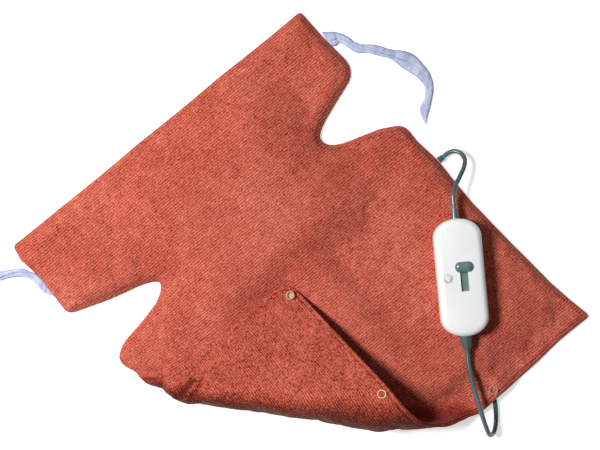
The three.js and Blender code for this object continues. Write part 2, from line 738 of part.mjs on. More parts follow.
piece(group, 'thermal_cutout_1', betweenPads(CUTOUT, CUTOUT.x, between(CUTOUT.rowShare)), dark);
const otherY = between(CUTOUT.otherRowShare);
const otherX = foldX(otherY) + CUTOUT.foldSpace;
piece(group, 'thermal_cutout_2', betweenPads(CUTOUT, otherX, otherY), dark);
const junctionY = between(JUNCTION.rowShare);
const junctionX = sideX(junctionY, 1) - JUNCTION.length;
piece(group, 'lead_junction', betweenPads(JUNCTION, junctionX, junctionY), dark);

// Ring snaps along the hem: a ring outside each cover, a stud and a socket between them
const brass = material(0xcdb27a, 0.35, 1);

function hemY(x) {
  const ends = [[-LEFT.hem, LEFT.hemRise], [HEM_BOW.x, -HEM_BOW.sag], [RIGHT.hem, RIGHT.hemRise]];
  const [[ax, ay], [bx, by]] = x < HEM_BOW.x ? ends.slice(0, 2) : ends.slice(1);
  return HEM_LINE + ay + ((by - ay) * (x - ax)) / (bx - ax);
}

function lathe(profile, steps) {
  const points = profile.map(([r, z]) => new THREE.Vector2(r, z));
  return new THREE.LatheGeometry(points, steps).rotateX(Math.PI / 2);
}

function snapRing() {
  const profile = Array.from({ length: SNAP.wireSteps + 1 }, (_, k) => {
    const angle = (k / SNAP.wireSteps) * FULL_CIRCLE;
    return [SNAP.ring + SNAP.wire * Math.cos(angle), SNAP.wire * Math.sin(angle)];
  });
  return lathe(profile, SNAP.ringSteps);
}

function snapStud() {
  return lathe([[0, 0], [SNAP.stud, 0], [SNAP.stud, SNAP.studThick], [SNAP.post, SNAP.studThick],
    [SNAP.post, SNAP.postHeight], [0, SNAP.postHeight]], SNAP.ringSteps);
}

function snapSocket() {
  return lathe([[SNAP.socketBore, 0], [SNAP.stud, 0], [SNAP.stud, SNAP.socketThick],
    [SNAP.socketBore, SNAP.socketThick], [SNAP.socketBore, 0]], SNAP.ringSteps);
}

const bandTop = THREE.MathUtils.lerp(RIM_THICK, THICK, HEM_RISE_SHARE);
SNAP_PLACES.forEach((x, index) => {
  const y = hemY(x) + SNAP.inset;
  const place = (name, geometry, h) => {
    const { here, quaternion } = frameOnSheet(x, y, h);
    const mesh = piece(group, `${name}_${index + 1}`, geometry, brass);
    mesh.position.copy(here);
    mesh.quaternion.copy(quaternion);
  };
  place('snap_ring_back', snapRing(), -GAP - SNAP.wire);
  place('snap_stud', snapStud(), COVER + GAP);
  place('snap_socket', snapSocket(), bandTop - COVER - GAP - SNAP.socketThick);
  place('snap_ring_front', snapRing(), bandTop + GAP + SNAP.wire);
});

// Ribbons sewn to the collar's ends
const satin = material(0xb9c2e6, 0.45);

function ribbon(route) {
  const points = route.map(([x, y]) => new THREE.Vector3(x, y, 0));
  const curve = new THREE.CatmullRomCurve3(points, false, 'centripetal');
  const count = route.length * 2;
  const left = [];
  const right = [];
  for (let i = 0; i <= count; i += 1) {
    const point = curve.getPointAt(i / count);
    const tangent = curve.getTangentAt(i / count);
    const side = new THREE.Vector2(-tangent.y, tangent.x).multiplyScalar(RIBBON.width / 2);
    left.push(new THREE.Vector2(point.x + side.x, point.y + side.y));
    right.push(new THREE.Vector2(point.x - side.x, point.y - side.y));
  }
  const shape = new THREE.Shape([...right, ...left.reverse()]);
  const geometry = new THREE.ExtrudeGeometry(shape, { depth: RIBBON.thick, bevelEnabled: false });
  return geometry.translate(0, 0, RIBBON.z);
}

piece(group, 'tie_ribbon_right', ribbon(ribbonRightRoute), satin);
piece(group, 'tie_ribbon_left', ribbon(ribbonLeftRoute), satin);

// Cords
const greenGrey = material(0x5b716d, 0.6);

function tube(route, diameter, steps) {
  const points = route.map((p) => new THREE.Vector3(...p));
  const curve = new THREE.CatmullRomCurve3(points, false, 'centripetal');
  const section = new THREE.Shape(Array.from({ length: CORD_SIDES }, (_, k) => {
    const angle = (k / CORD_SIDES) * FULL_CIRCLE;
    return new THREE.Vector2((diameter / 2) * Math.cos(angle), (diameter / 2) * Math.sin(angle));
  }));
  return new THREE.ExtrudeGeometry(section, { steps, extrudePath: curve, bevelEnabled: false });
}

function coilPath() {
  const { x, y } = coilCentre;
  const points = [new THREE.Vector3(coilStart, y - CORD, coilLow)];
  const steps = COIL_TURNS * 2 * COIL_LOOP_STEPS;
  for (let i = 0; i <= steps; i += 1) {
    const turns = i / COIL_LOOP_STEPS;
    const radius = COIL_OUTER - COIL_PITCH * (COIL_TURNS - Math.abs(turns - COIL_TURNS));
    const z = coilLow + COIL_PITCH * smooth((turns - COIL_TURNS) * 2 + 1 / 2);
    const angle = turns * FULL_CIRCLE;
    points.push(new THREE.Vector3(x + radius * Math.cos(angle), y + radius * Math.sin(angle), z));
  }
  points.push(new THREE.Vector3(coilStart, y + CORD, coilHigh));
  return points;
}

function leastGap(points, diameter) {
  let least = Infinity;
  for (let i = 0; i < points.length; i += 1) {
    for (let j = i + COIL_LOOP_STEPS / 3; j < points.length; j += 1) {
      least = Math.min(least, points[i].distanceTo(points[j]) - diameter);
    }
  }
  return least;
}

function woundTube(points, diameter, sides) {
  const up = new THREE.Vector3(0, 0, 1);
  const rings = points.map((point, i) => {
    const ahead = points[Math.min(i + 1, points.length - 1)];
    const tangent = ahead.clone().sub(points[Math.max(i - 1, 0)]).normalize();
    const side = up.clone().cross(tangent).normalize();
    const rise = tangent.clone().cross(side);
    return Array.from({ length: sides }, (_, k) => {
      const angle = (k / sides) * FULL_CIRCLE;
      return point.clone().addScaledVector(side, (diameter / 2) * Math.cos(angle))
        .addScaledVector(rise, (diameter / 2) * Math.sin(angle));
    });
  });
  return ringTube(rings);
}

piece(group, 'pad_lead', tube(padLeadRoute, CORD, 18), greenGrey);
piece(group, 'mains_lead', tube(mainsRoute, CORD, 46), greenGrey);
const coil = coilPath();
console.log('least gap of the coiled lead to itself', leastGap(coil, CORD).toFixed(2), 'mm');
piece(group, 'mains_lead_coil', woundTube(coil, CORD, COIL_SIDES), greenGrey);
piece(group, 'mains_lead_tail', tube(tailRoute, CORD, 12), greenGrey);

// Tie round the coil, on the side away from the plug
const coilTop = coilHigh + CORD / 2;
const coilInner = COIL_OUTER - COIL_TURNS * COIL_PITCH - CORD / 2;

function coilTie() {
  const [near, far] = [coilInner - TIE.room, COIL_OUTER + CORD / 2 + TIE.room];
  const [low, high] = [coilLow - CORD / 2 - GAP, coilTop + GAP];
  const frame = (grow) => [
    new THREE.Vector2(near - grow, low - grow), new THREE.Vector2(far + grow, low - grow),
    new THREE.Vector2(far + grow, high + grow), new THREE.Vector2(near - grow, high + grow),
  ];
  const shape = new THREE.Shape(frame(TIE.thick));
  shape.holes.push(new THREE.Path(frame(0)));
  const geometry = new THREE.ExtrudeGeometry(shape, { depth: TIE.width, bevelEnabled: false });
  geometry.translate(0, 0, -TIE.width / 2).rotateX(Math.PI / 2).rotateZ(Math.PI);
  return geometry.translate(coilCentre.x, coilCentre.y, 0);
}

piece(group, 'coil_tie', coilTie(), dark);

// Gland where the lead leaves the pad's edge
const edgeX = THREE.MathUtils.lerp(RIGHT.shoulder, RIGHT.hem, GLAND.sideShare);
const edgeDrop = THREE.MathUtils.lerp(RIGHT.shoulderDrop, PAD_DEPTH - RIGHT.hemRise, GLAND.sideShare);
const glandProfile = [
  [0, 0], [GLAND.flange, 0], [GLAND.flange, GLAND.length * GLAND.flangeShare],
  [GLAND.root, GLAND.length * GLAND.rootShare], [GLAND.tip, GLAND.length], [0, GLAND.length],
];
const gland = lathe(glandProfile, ROUND_STEPS).rotateY(Math.PI / 2);
gland.translate(edgeX + GAP * 2, TOP_EDGE - edgeDrop, padLeadRoute[0][2]);
piece(group, 'pad_lead_gland', gland, greenGrey);

// Plug: a flat two-pin body, its pins and its strain relief
const plug = new THREE.Group();
const [plugX, plugY] = tailRoute[tailRoute.length - 1];
plug.position.set(plugX, plugY - GAP, plugZ);
plug.rotation.z = Math.PI;
group.add(plug);
const plugRear = (PLUG.width * PLUG.taperShare) / 2;
const plugShoulder = PLUG.relief + PLUG.length * PLUG.shoulderShare;
const plugFront = PLUG.relief + PLUG.length;
const plugHalf = PLUG.width / 2;
const plugShape = new THREE.Shape([
  [-plugRear, PLUG.relief], [plugRear, PLUG.relief], [plugHalf, plugShoulder], [plugHalf, plugFront],
  [-plugHalf, plugFront], [-plugHalf, plugShoulder],
].map(([x, y]) => new THREE.Vector2(x, y)));
const plugBody = new THREE.ExtrudeGeometry(plugShape, {
  depth: PLUG.thick - 2 * PLUG.edge,
  bevelThickness: PLUG.edge, bevelSize: PLUG.edge, bevelOffset: -PLUG.edge, bevelSegments: 3,
});
piece(plug, 'plug_body', plugBody.translate(0, 0, PLUG.edge - PLUG.thick / 2), greenGrey);
const reliefTop = PLUG.relief - GAP;
const reliefProfile = [[0, 0], [PLUG.reliefTip, 0], [PLUG.reliefRoot, reliefTop], [0, reliefTop]];
piece(plug, 'plug_relief', lathe(reliefProfile, ROUND_STEPS).rotateX(-Math.PI / 2), greenGrey);
[-1, 1].forEach((sign, index) => {
  const pinProfile = [
    [0, 0], [PLUG.pin, 0], [PLUG.pin, PLUG.pinLength - PLUG.pin / 2],
    [PLUG.pin / 2, PLUG.pinLength], [0, PLUG.pinLength],
  ];
  const pin = lathe(pinProfile, ROUND_STEPS).rotateX(-Math.PI / 2);
  pin.translate((sign * PLUG.pinSpan) / 2, PLUG.relief + PLUG.length + GAP, 0);
  piece(plug, `plug_pin_${index + 1}`, pin, material(0xb8bcc0, 0.3, 1));
});

// Controller housing: one rounded form, hollow, parted into two shells
controller.position.set(CONTROLLER.x, HEM_LINE + CONTROLLER.rise, THICK + GAP);
controller.rotation.z = radians(CONTROLLER.turn);
group.add(controller);
const shell = material(0xf2f3f4, 0.3);

function housing(inset) {
  const half = CONTROLLER.width / 2 - inset;
  const rise = CONTROLLER.endRise - inset;
  const straight = CONTROLLER.length / 2 - CONTROLLER.endRise;
  const shape = new THREE.Shape();
  shape.absellipse(0, straight, half, rise, 0, Math.PI, false);
  shape.absellipse(0, -straight, half, rise, Math.PI, FULL_CIRCLE, false);
  const edge = CONTROLLER.edge - inset;
  const geometry = new THREE.ExtrudeGeometry(shape, {
    depth: CONTROLLER.height - 2 * CONTROLLER.edge, curveSegments: 9,
    bevelThickness: edge, bevelSize: edge, bevelOffset: -edge, bevelSegments: 4,
  });
  return solid(geometry.translate(0, 0, CONTROLLER.edge));
}

const ceiling = CONTROLLER.height - CONTROLLER.wall;
const big = CONTROLLER.length;
const walls = housing(0).subtract(housing(CONTROLLER.wall));
const above = solid(box(big, big + OVERRUN, big, 0, 0, CONTROLLER.parting + GAP / 2));
const below = solid(box(big, big + OVERRUN, big, 0, 0, CONTROLLER.parting - GAP / 2 - big));
const slotHalf = (SLIDER.travel + SLIDER.stemLength) / 2 + SLIDER.slotClear;
const slotY = SLIDER.y - SLIDER.travel / 2;

function axisHole(radius, from, to, z) {
  const geometry = new THREE.CylinderGeometry(radius, radius, to - from, 20);
  return solid(geometry.translate(0, (from + to) / 2, z));
}

const endY = CONTROLLER.length / 2;
const holeInner = endY - CONTROLLER.wall - OVERRUN;
const holeOuter = endY + OVERRUN;
const padHole = axisHole(TOP_RELIEF.neck + GAP, holeInner, holeOuter, CONTROLLER.parting);
const mainsHole = axisHole(BOTTOM_RELIEF.neck + GAP, -holeOuter, -holeInner, CONTROLLER.parting);
const reliefHoles = padHole.add(mainsHole);
const postY = endY - POST.endSpace;
const postPlaces = [[-1, -1], [1, -1], [-1, 1], [1, 1]].map(([u, v]) => [u * POST.x, v * postY]);

let topShell = walls.intersect(above);
let bottomShell = walls.intersect(below);
const screwTop = SCREW.headHeight + GAP + CONTROLLER.wall / 2;
const bossLow = CONTROLLER.parting + GAP / 2;
const bossHeight = ceiling - bossLow + CONTROLLER.wall / 2;
const footHeight = CONTROLLER.parting - GAP / 2 - GAP;
for (const [x, y] of postPlaces) {
  topShell = topShell.add(solid(upright(POST.radius, bossHeight, x, y, bossLow)));
  topShell = topShell.subtract(solid(upright(SCREW.shank + GAP, POST.length, x, y, bossLow - GAP)));
  bottomShell = bottomShell.add(solid(upright(POST.radius + POST.bore / 2, footHeight, x, y, GAP)));
  bottomShell = bottomShell.subtract(solid(upright(SCREW.shank + GAP, CONTROLLER.height, x, y, -GAP)));
  bottomShell = bottomShell.subtract(solid(upright(SCREW.head + GAP, screwTop + OVERRUN, x, y, -OVERRUN)));
}
const railHeight = SLIDER.railDepth + CONTROLLER.wall / 2;
const plateHalf = slotHalf + SLIDER.plateLap + SLIDER.travel / 2;
const railLow = ceiling - SLIDER.railDepth;
for (const sign of [-1, 1]) {
  const x = SLIDER.x + sign * (SLIDER.plateWidth / 2 + GAP + SLIDER.railWidth / 2);
  topShell = topShell.add(solid(box(SLIDER.railWidth, 2 * plateHalf, railHeight, x, slotY, railLow)));
}
const { height } = CONTROLLER;
const slot = box(SLIDER.slotWidth, 2 * slotHalf, height, SLIDER.x, slotY, railLow - SLIDER.railDepth);
const lensLow = CONTROLLER.parting + GAP;
const lensHole = upright(LENS.radius + GAP / 2, height, LENS.x, LENS.y, lensLow, 2 * ROUND_STEPS);
topShell = topShell.subtract(solid(slot)).subtract(solid(lensHole)).subtract(reliefHoles);
const standTop = CONTROLLER.wall + BOARD.stand;
const ribLow = CONTROLLER.wall / 2;
const standHeight = standTop - GAP - ribLow;
const clampHeight = CONTROLLER.parting - GAP / 2 - ribLow;
const clampY = endY - CLAMP.inset;
for (const sign of [-1, 1]) {
  const standY = sign * BOARD_LENGTH * BOARD.ribPlaceShare;
  const stand = box(BOARD.width * BOARD.ribShare, CONTROLLER.wall, standHeight, 0, standY, ribLow);
  bottomShell = bottomShell.add(solid(stand));
  bottomShell = bottomShell.add(solid(box(CLAMP.width, CLAMP.length, clampHeight, 0, sign * clampY, ribLow)));
}
const coreEnd = endY - CONTROLLER.wall;
const coreHole = axisHole(INNER_LEAD / 2 + GAP, -coreEnd, coreEnd, CONTROLLER.parting);
bottomShell = bottomShell.subtract(reliefHoles).subtract(coreHole);
piece(controller, 'controller_top_shell', geometryOf(topShell), shell);
piece(controller, 'controller_bottom_shell', geometryOf(bottomShell), shell);

// Screws, from below through the bottom shell into the top shell's bosses
postPlaces.forEach(([x, y], index) => {
  const reach = screwTop + SCREW.length;
  const headLow = screwTop - SCREW.headHeight;
  const headTop = screwTop - GAP;
  const profile = [
    [0, headLow], [SCREW.head, headLow], [SCREW.head, headTop],
    [SCREW.shank, headTop], [SCREW.shank, reach], [0, reach],
  ];
  const screw = lathe(profile, ROUND_STEPS).translate(x, y, 0);
  piece(controller, `housing_screw_${index + 1}`, screw, material(0x9aa0a3, 0.35, 1));
});

// Slider: the plate that closes the slot, its stem and foot, and the knob on the stem
const sliderLook = material(0x5f7571, 0.5);
const plateLow = ceiling - GAP - SLIDER.plateThick;
const knobLow = CONTROLLER.height + SLIDER.knobClear;
const stemTop = knobLow + SLIDER.knobHeight - SLIDER.knobWall - GAP;
const footLow = plateLow - OVERRUN;
const footHigh = plateLow + SLIDER.plateThick - footLow;
const plate = solid(box(SLIDER.plateWidth, 2 * plateHalf, SLIDER.plateThick, SLIDER.x, SLIDER.y, plateLow));
const stemHigh = stemTop - plateLow;
const stem = solid(box(SLIDER.stemWidth, SLIDER.stemLength, stemHigh, SLIDER.x, SLIDER.y, plateLow));
const footPiece = solid(box(SLIDER.footWidth, SLIDER.footLength, footHigh, SLIDER.x, SLIDER.y, footLow));
piece(controller, 'slider_plate', geometryOf(plate.add(stem).add(footPiece)), sliderLook);

function knob() {
  const end = SLIDER.knobLength / 2;
  const straight = SLIDER.knobWidth / 2 - end;
  const shape = new THREE.Shape();
  shape.absarc(straight, 0, end, -Math.PI / 2, Math.PI / 2, false);
  shape.absarc(-straight, 0, end, Math.PI / 2, FULL_CIRCLE - Math.PI / 2, false);
  const edge = SLIDER.knobEdge;
  const form = new THREE.ExtrudeGeometry(shape, {
    depth: SLIDER.knobHeight, curveSegments: 6,
    bevelThickness: edge, bevelSize: edge, bevelOffset: -edge, bevelSegments: 3,
  }).translate(SLIDER.x, SLIDER.y, knobLow - edge);
  const cutLow = knobLow - OVERRUN;
  const wide = 2 * SLIDER.knobWidth;
  const base = solid(box(wide, wide, OVERRUN, SLIDER.x, SLIDER.y, cutLow));
  const [across, lengthwise] = [SLIDER.stemWidth + 2 * GAP, SLIDER.stemLength + 2 * GAP];
  const socket = box(across, lengthwise, stemTop + GAP - cutLow, SLIDER.x, SLIDER.y, cutLow);
  return geometryOf(solid(form).subtract(base).subtract(solid(socket)));
}

piece(controller, 'slider_knob', knob(), sliderLook);

// Pilot lens in the top shell, and what stands on the board under it
const lensTop = CONTROLLER.height + LENS.rise;
const lensFlangeTop = ceiling - GAP;
const lensWide = LENS.radius + LENS.flange;
const lensNarrow = LENS.radius - GAP / 2;
const lensProfile = [
  [0, lensFlangeTop - LENS.flangeThick], [lensWide, lensFlangeTop - LENS.flangeThick],
  [lensWide, lensFlangeTop], [lensNarrow, lensFlangeTop], [lensNarrow, CONTROLLER.height],
  [LENS.radius * LENS.domeShare, lensTop - GAP / 2], [0, lensTop],
];
const lens = lathe(lensProfile, 2 * ROUND_STEPS).translate(LENS.x, LENS.y, 0);
piece(controller, 'pilot_lens', lens, material(0xe9ecec, 0.15));
const board = box(BOARD.width, BOARD_LENGTH, BOARD.thick, 0, 0, standTop);
piece(controller, 'circuit_board', board, material(0x2f6b46, 0.6));
const onBoard = standTop + BOARD.thick + GAP;
const switchLength = BOARD_LENGTH * SWITCH.lengthShare;
const switchBlock = box(SWITCH.width, switchLength, footLow - GAP - onBoard, SLIDER.x, slotY, onBoard);
piece(controller, 'switch_block', switchBlock, dark);
const lampProfile = [
  [0, 0], [LAMP.radius, 0], [LAMP.radius, LAMP.height - LAMP.radius],
  [LAMP.radius / 2, LAMP.height], [0, LAMP.height],
];
const lamp = lathe(lampProfile, ROUND_STEPS).translate(LAMP.radius - BOARD.width / 2, LENS.y, onBoard);
piece(controller, 'pilot_lamp', lamp, material(0xd96a3a, 0.2));

function lying(sizes) {
  const { radius, x } = sizes;
  const length = BOARD_LENGTH * sizes.lengthShare;
  const geometry = new THREE.CylinderGeometry(radius, radius, length, ROUND_STEPS);
  return geometry.translate(x, BOARD_LENGTH * sizes.placeShare, onBoard + radius);
}

piece(controller, 'fuse', lying(FUSE), material(0xd8d8d0, 0.2));
piece(controller, 'series_resistor', lying(RESISTOR), material(0xb09a6a, 0.6));
const terminalY = BOARD_LENGTH / 2 - TERMINAL.length / 2;

function terminal(sign) {
  return box(TERMINAL.width, TERMINAL.length, TERMINAL.height, 0, sign * terminalY, onBoard);
}

piece(controller, 'terminal_block_pad', terminal(1), dark);
piece(controller, 'terminal_block_mains', terminal(-1), dark);

// Strain reliefs, inner lead ends and their clamps
function relief(sizes, sign) {
  const inner = -CONTROLLER.wall - GAP - sizes.seat;
  const profile = [
    [0, inner - sizes.flangeThick], [sizes.flange, inner - sizes.flangeThick], [sizes.flange, inner],
    [sizes.neck, inner], [sizes.neck, sizes.flangeThick], [sizes.tip, sizes.outside], [0, sizes.outside],
  ];
  const geometry = lathe(profile, ROUND_STEPS).rotateX(-Math.PI / 2).translate(0, endY, CONTROLLER.parting);
  return sign < 0 ? geometry.rotateZ(Math.PI) : geometry;
}

function clamp(sign) {
  const block = box(CLAMP.width, CLAMP.length, CLAMP.height, 0, sign * clampY, CONTROLLER.parting + GAP / 2);
  return geometryOf(solid(block).subtract(coreHole));
}

function innerLead(sizes, sign) {
  const outer = endY - CONTROLLER.wall - 2 * GAP - sizes.seat - sizes.flangeThick;
  const inner = BOARD_LENGTH / 2 + GAP;
  return new THREE.CylinderGeometry(INNER_LEAD / 2, INNER_LEAD / 2, outer - inner, ROUND_STEPS)
    .translate(0, (sign * (outer + inner)) / 2, CONTROLLER.parting);
}

piece(controller, 'strain_relief_pad', relief(TOP_RELIEF, 1), greenGrey);
piece(controller, 'strain_relief_mains', relief(BOTTOM_RELIEF, -1), greenGrey);
piece(controller, 'inner_lead_pad', innerLead(TOP_RELIEF, 1), greenGrey);
piece(controller, 'inner_lead_mains', innerLead(BOTTOM_RELIEF, -1), greenGrey);
piece(controller, 'cord_clamp_pad', clamp(1), dark);
piece(controller, 'cord_clamp_mains', clamp(-1), dark);

export default group;
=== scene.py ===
import math
import time

import bmesh
import bpy
import numpy as np
from mathutils import Matrix, Vector
from mathutils import geometry as flat_geometry
from mathutils import noise


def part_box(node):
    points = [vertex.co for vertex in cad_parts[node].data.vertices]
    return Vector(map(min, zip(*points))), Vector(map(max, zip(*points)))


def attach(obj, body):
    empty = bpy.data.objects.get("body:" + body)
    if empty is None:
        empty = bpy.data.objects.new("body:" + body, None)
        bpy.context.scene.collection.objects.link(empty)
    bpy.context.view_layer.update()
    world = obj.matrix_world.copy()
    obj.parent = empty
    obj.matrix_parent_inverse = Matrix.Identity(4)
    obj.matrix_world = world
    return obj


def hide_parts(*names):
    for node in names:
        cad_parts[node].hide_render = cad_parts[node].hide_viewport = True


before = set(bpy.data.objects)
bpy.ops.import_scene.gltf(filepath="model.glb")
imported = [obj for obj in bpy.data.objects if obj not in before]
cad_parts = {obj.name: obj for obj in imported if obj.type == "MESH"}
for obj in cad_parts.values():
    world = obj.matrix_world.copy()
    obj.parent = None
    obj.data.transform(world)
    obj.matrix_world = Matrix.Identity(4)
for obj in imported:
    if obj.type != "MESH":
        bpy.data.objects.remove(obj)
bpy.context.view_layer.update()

MM = 0.001
scene = bpy.context.scene

# Camera: straight above the pad. One pixel of the 600 by 450 photograph is PIXEL millimetres on the floor,
# and the picture's right and up directions lie along PHOTO_RIGHT and PHOTO_UP
CAM_X, CAM_Y, CAM_HEIGHT = 58.2, 50.6, 1600
PIXEL = 1.15
TURN_COS, TURN_SIN = 0.773, 0.634
PHOTO_RIGHT = Vector((TURN_COS, -TURN_SIN, 0))
PHOTO_UP = Vector((TURN_SIN, TURN_COS, 0))
MIDDLE_X, MIDDLE_Y = 300, 225
cam_data = bpy.data.cameras.new("camera")
cam_data.lens = 83.5
cam_data.sensor_width = 36
cam = bpy.data.objects.new("camera", cam_data)
cam.location = (CAM_X * MM, CAM_Y * MM, CAM_HEIGHT * MM)
cam.rotation_euler = (0, 0, math.atan2(-TURN_SIN, TURN_COS))
scene.collection.objects.link(cam)
scene.camera = cam


# Small helpers
def srgb(r, g, b):
    def lin(v):
        v /= 255
        return v / 12.92 if v <= 0.04045 else ((v + 0.055) / 1.055) ** 2.4
    return (lin(r), lin(g), lin(b), 1.0)


def smooth(t):
    t = np.clip(t, 0, 1)
    return t * t * (3 - 2 * t)


def new_object(name, verts, faces, material, body="pad", shade=True):
    mesh = bpy.data.meshes.new(name)
    mesh.from_pydata([tuple(v) for v in verts], [], faces)
    mesh.validate()
    obj = bpy.data.objects.new(name, mesh)
    scene.collection.objects.link(obj)
    if shade:
        mesh.polygons.foreach_set("use_smooth", [True] * len(mesh.polygons))
    mesh.materials.append(material)
    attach(obj, body)
    return obj


def catmull(points, step):
    """Points along a centripetal Catmull-Rom curve, about step apart."""
    pts = [np.array(p, float) for p in points]
    pts = [2 * pts[0] - pts[1]] + pts + [2 * pts[-1] - pts[-2]]
    out = []
    for i in range(1, len(pts) - 2):
        p0, p1, p2, p3 = pts[i - 1:i + 3]
        t0 = 0.0
        t1 = t0 + np.linalg.norm(p1 - p0) ** 0.5
        t2 = t1 + np.linalg.norm(p2 - p1) ** 0.5
        t3 = t2 + np.linalg.norm(p3 - p2) ** 0.5
        count = max(int(np.linalg.norm(p2 - p1) / step), 1)
        for k in range(count):
            t = t1 + (t2 - t1) * k / count
            a1 = (t1 - t) / (t1 - t0) * p0 + (t - t0) / (t1 - t0) * p1
            a2 = (t2 - t) / (t2 - t1) * p1 + (t - t1) / (t2 - t1) * p2
            a3 = (t3 - t) / (t3 - t2) * p2 + (t - t2) / (t3 - t2) * p3
            b1 = (t2 - t) / (t2 - t0) * a1 + (t - t0) / (t2 - t0) * a2
            b2 = (t3 - t) / (t3 - t1) * a2 + (t - t1) / (t3 - t1) * a3
            out.append((t2 - t) / (t2 - t1) * b1 + (t - t1) / (t2 - t1) * b2)
    out.append(pts[-2])
    return np.array(out)


def length_of(path):
    return float(np.linalg.norm(np.diff(path, axis=0), axis=1).sum())


def cord_object(name, path, diameter, material):
    """A curve of one open spline, through points in millimetres."""
    data = bpy.data.curves.new(name, "CURVE")
    data.dimensions = "3D"
    data.bevel_depth = diameter / 2 * MM
    data.bevel_resolution = 5
    data.use_fill_caps = True
    spline = data.splines.new("POLY")
    spline.points.add(len(path) - 1)
    for point, p in zip(spline.points, path):
        point.co = (p[0] * MM, p[1] * MM, p[2] * MM, 1)
    spline.use_smooth = True
    data.materials.append(material)
    obj = bpy.data.objects.new(name, data)
    scene.collection.objects.link(obj)
    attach(obj, "pad")
    return obj


# Materials
class Nodes:
    def __init__(self, name):
        self.material = bpy.data.materials.new(name)
        self.material.use_nodes = True
        self.tree = self.material.node_tree
        self.shader = self.tree.nodes["Principled BSDF"]

    def add(self, kind, inputs=None, **settings):
        node = self.tree.nodes.new("ShaderNode" + kind)
        for key, value in settings.items():
            setattr(node, key, value)
        for key, value in (inputs or {}).items():
            socket = node.inputs[key]
            if isinstance(value, bpy.types.NodeSocket):
                self.tree.links.new(value, socket)
            else:
                socket.default_value = value
        return node

    def link(self, out, socket):
        self.tree.links.new(out, self.shader.inputs[socket])

    def set(self, **values):
        for key, value in values.items():
            self.shader.inputs[key.replace("_", " ")].default_value = value

    def ramp(self, fac, stops):
        node = self.add("ValToRGB", {"Fac": fac})
        elements = node.color_ramp.elements
        while len(elements) < len(stops):
            elements.new(0.5)
        for element, (at, colour) in zip(elements, stops):
            element.position = at
            element.color = colour
        return node.outputs["Color"]

    def mix(self, fac, a, b):
        node = self.add("Mix", data_type="RGBA")
        for socket, value in ((node.inputs[0], fac), (node.inputs[6], a), (node.inputs[7], b)):
            if isinstance(value, bpy.types.NodeSocket):
                self.tree.links.new(value, socket)
            else:
                socket.default_value = value
        return node.outputs[2]

    def math(self, op, a, b=0.0, c=0.0):
        node = self.add("Math", operation=op)
        for socket, value in zip(node.inputs, (a, b, c)):
            if isinstance(value, bpy.types.NodeSocket):
                self.tree.links.new(value, socket)
            else:
                socket.default_value = value
        return node.outputs[0]

    def noise(self, coords, scale, detail=2.0, rough=0.5):
        return self.add("TexNoise", {"Vector": coords, "Scale": scale, "Detail": detail,
                                     "Roughness": rough}).outputs["Fac"]

    def bump(self, height, strength, distance, normal=None):
        inputs = {"Height": height, "Strength": strength, "Distance": distance}
        if normal is not None:
            inputs["Normal"] = normal
        return self.add("Bump", inputs).outputs["Normal"]


RIB_SCALE = 110.2


def plush_material(name, stops, pile=1.0, grain=520):
    """Ribbed cotton plush: courses across the cloth, 2.85 mm apart, broken by the loops of its pile."""
    n = Nodes(name)
    coords = n.add("TexCoord").outputs["Object"]
    uv = n.add("UVMap", uv_map="flat").outputs["UV"]
    fine = n.noise(coords, grain, 2.0, 0.65)
    cell = n.add("TexVoronoi", {"Vector": coords, "Scale": grain * 0.95, "Randomness": 1.0},
                 feature="F1").outputs["Distance"]
    patch = n.noise(coords, 85, 3.0, 0.6)
    wide = n.noise(coords, 11, 2.0, 0.5)
    wave = n.add("TexWave", {"Vector": uv, "Scale": RIB_SCALE, "Distortion": 4.2, "Detail": 3.0,
                             "Detail Scale": 2.0, "Detail Roughness": 0.65},
                 wave_type="BANDS", bands_direction="Y").outputs["Fac"]
    speck = n.math("MULTIPLY_ADD", n.math("SUBTRACT", wave, 0.5), 0.22, 0.5)
    speck = n.math("MULTIPLY_ADD", n.math("SUBTRACT", fine, 0.5), 0.62 * pile, speck)
    speck = n.math("MULTIPLY_ADD", n.math("SUBTRACT", 0.42, cell), 0.36 * pile, speck)
    speck = n.math("MULTIPLY_ADD", n.math("SUBTRACT", patch, 0.5), 0.32, speck)
    speck = n.math("MULTIPLY_ADD", n.math("SUBTRACT", wide, 0.5), 0.3, speck)
    # Painted shade: the colour is darkened by the pad's per-point attribute, which lies on the cloth rolling
    # round the fold, in the creases of its squashed end and along the hem seam.
    painted_shade = n.add("Attribute", attribute_name="painted_shade", attribute_type="GEOMETRY").outputs["Fac"]
    speck = n.math("MULTIPLY_ADD", painted_shade, -0.34, speck)
    n.link(n.ramp(speck, stops), "Base Color")
    height = n.math("MULTIPLY", wave, 0.5)
    height = n.math("MULTIPLY_ADD", fine, 0.7 * pile, height)
    height = n.math("MULTIPLY_ADD", cell, -0.6 * pile, height)
    normal = n.bump(patch, 0.35, 0.0022)
    n.link(n.bump(height, 0.7, 0.0011, normal), "Normal")
    n.set(Roughness=0.95, Sheen_Weight=0.14, Sheen_Roughness=0.5, Specular_IOR_Level=0.1)
    n.shader.inputs["Sheen Tint"].default_value = (1.0, 0.8, 0.72, 1)
    return n.material


def moulded_material(name, colour, shade, rough, bump=0.08, scale=900, coat=0.0, metal=0.0):
    """A hard or felted material whose colour wanders between two tones, with a fine grain."""
    n = Nodes(name)
    coords = n.add("TexCoord").outputs["Object"]
    wide = n.noise(coords, 22, 3.0, 0.55)
    fine = n.noise(coords, scale, 2.0, 0.5)
    n.link(n.mix(n.ramp(wide, [(0.3, (0, 0, 0, 1)), (0.75, (1, 1, 1, 1))]), shade, colour), "Base Color")
    span = n.add("MapRange", {"Value": wide, "To Min": rough * 0.85, "To Max": rough * 1.15}).outputs[0]
    n.link(span, "Roughness")
    n.link(n.bump(fine, bump, 0.0002), "Normal")
    n.set(Metallic=metal, Coat_Weight=coat, Specular_IOR_Level=0.5)
    return n.material


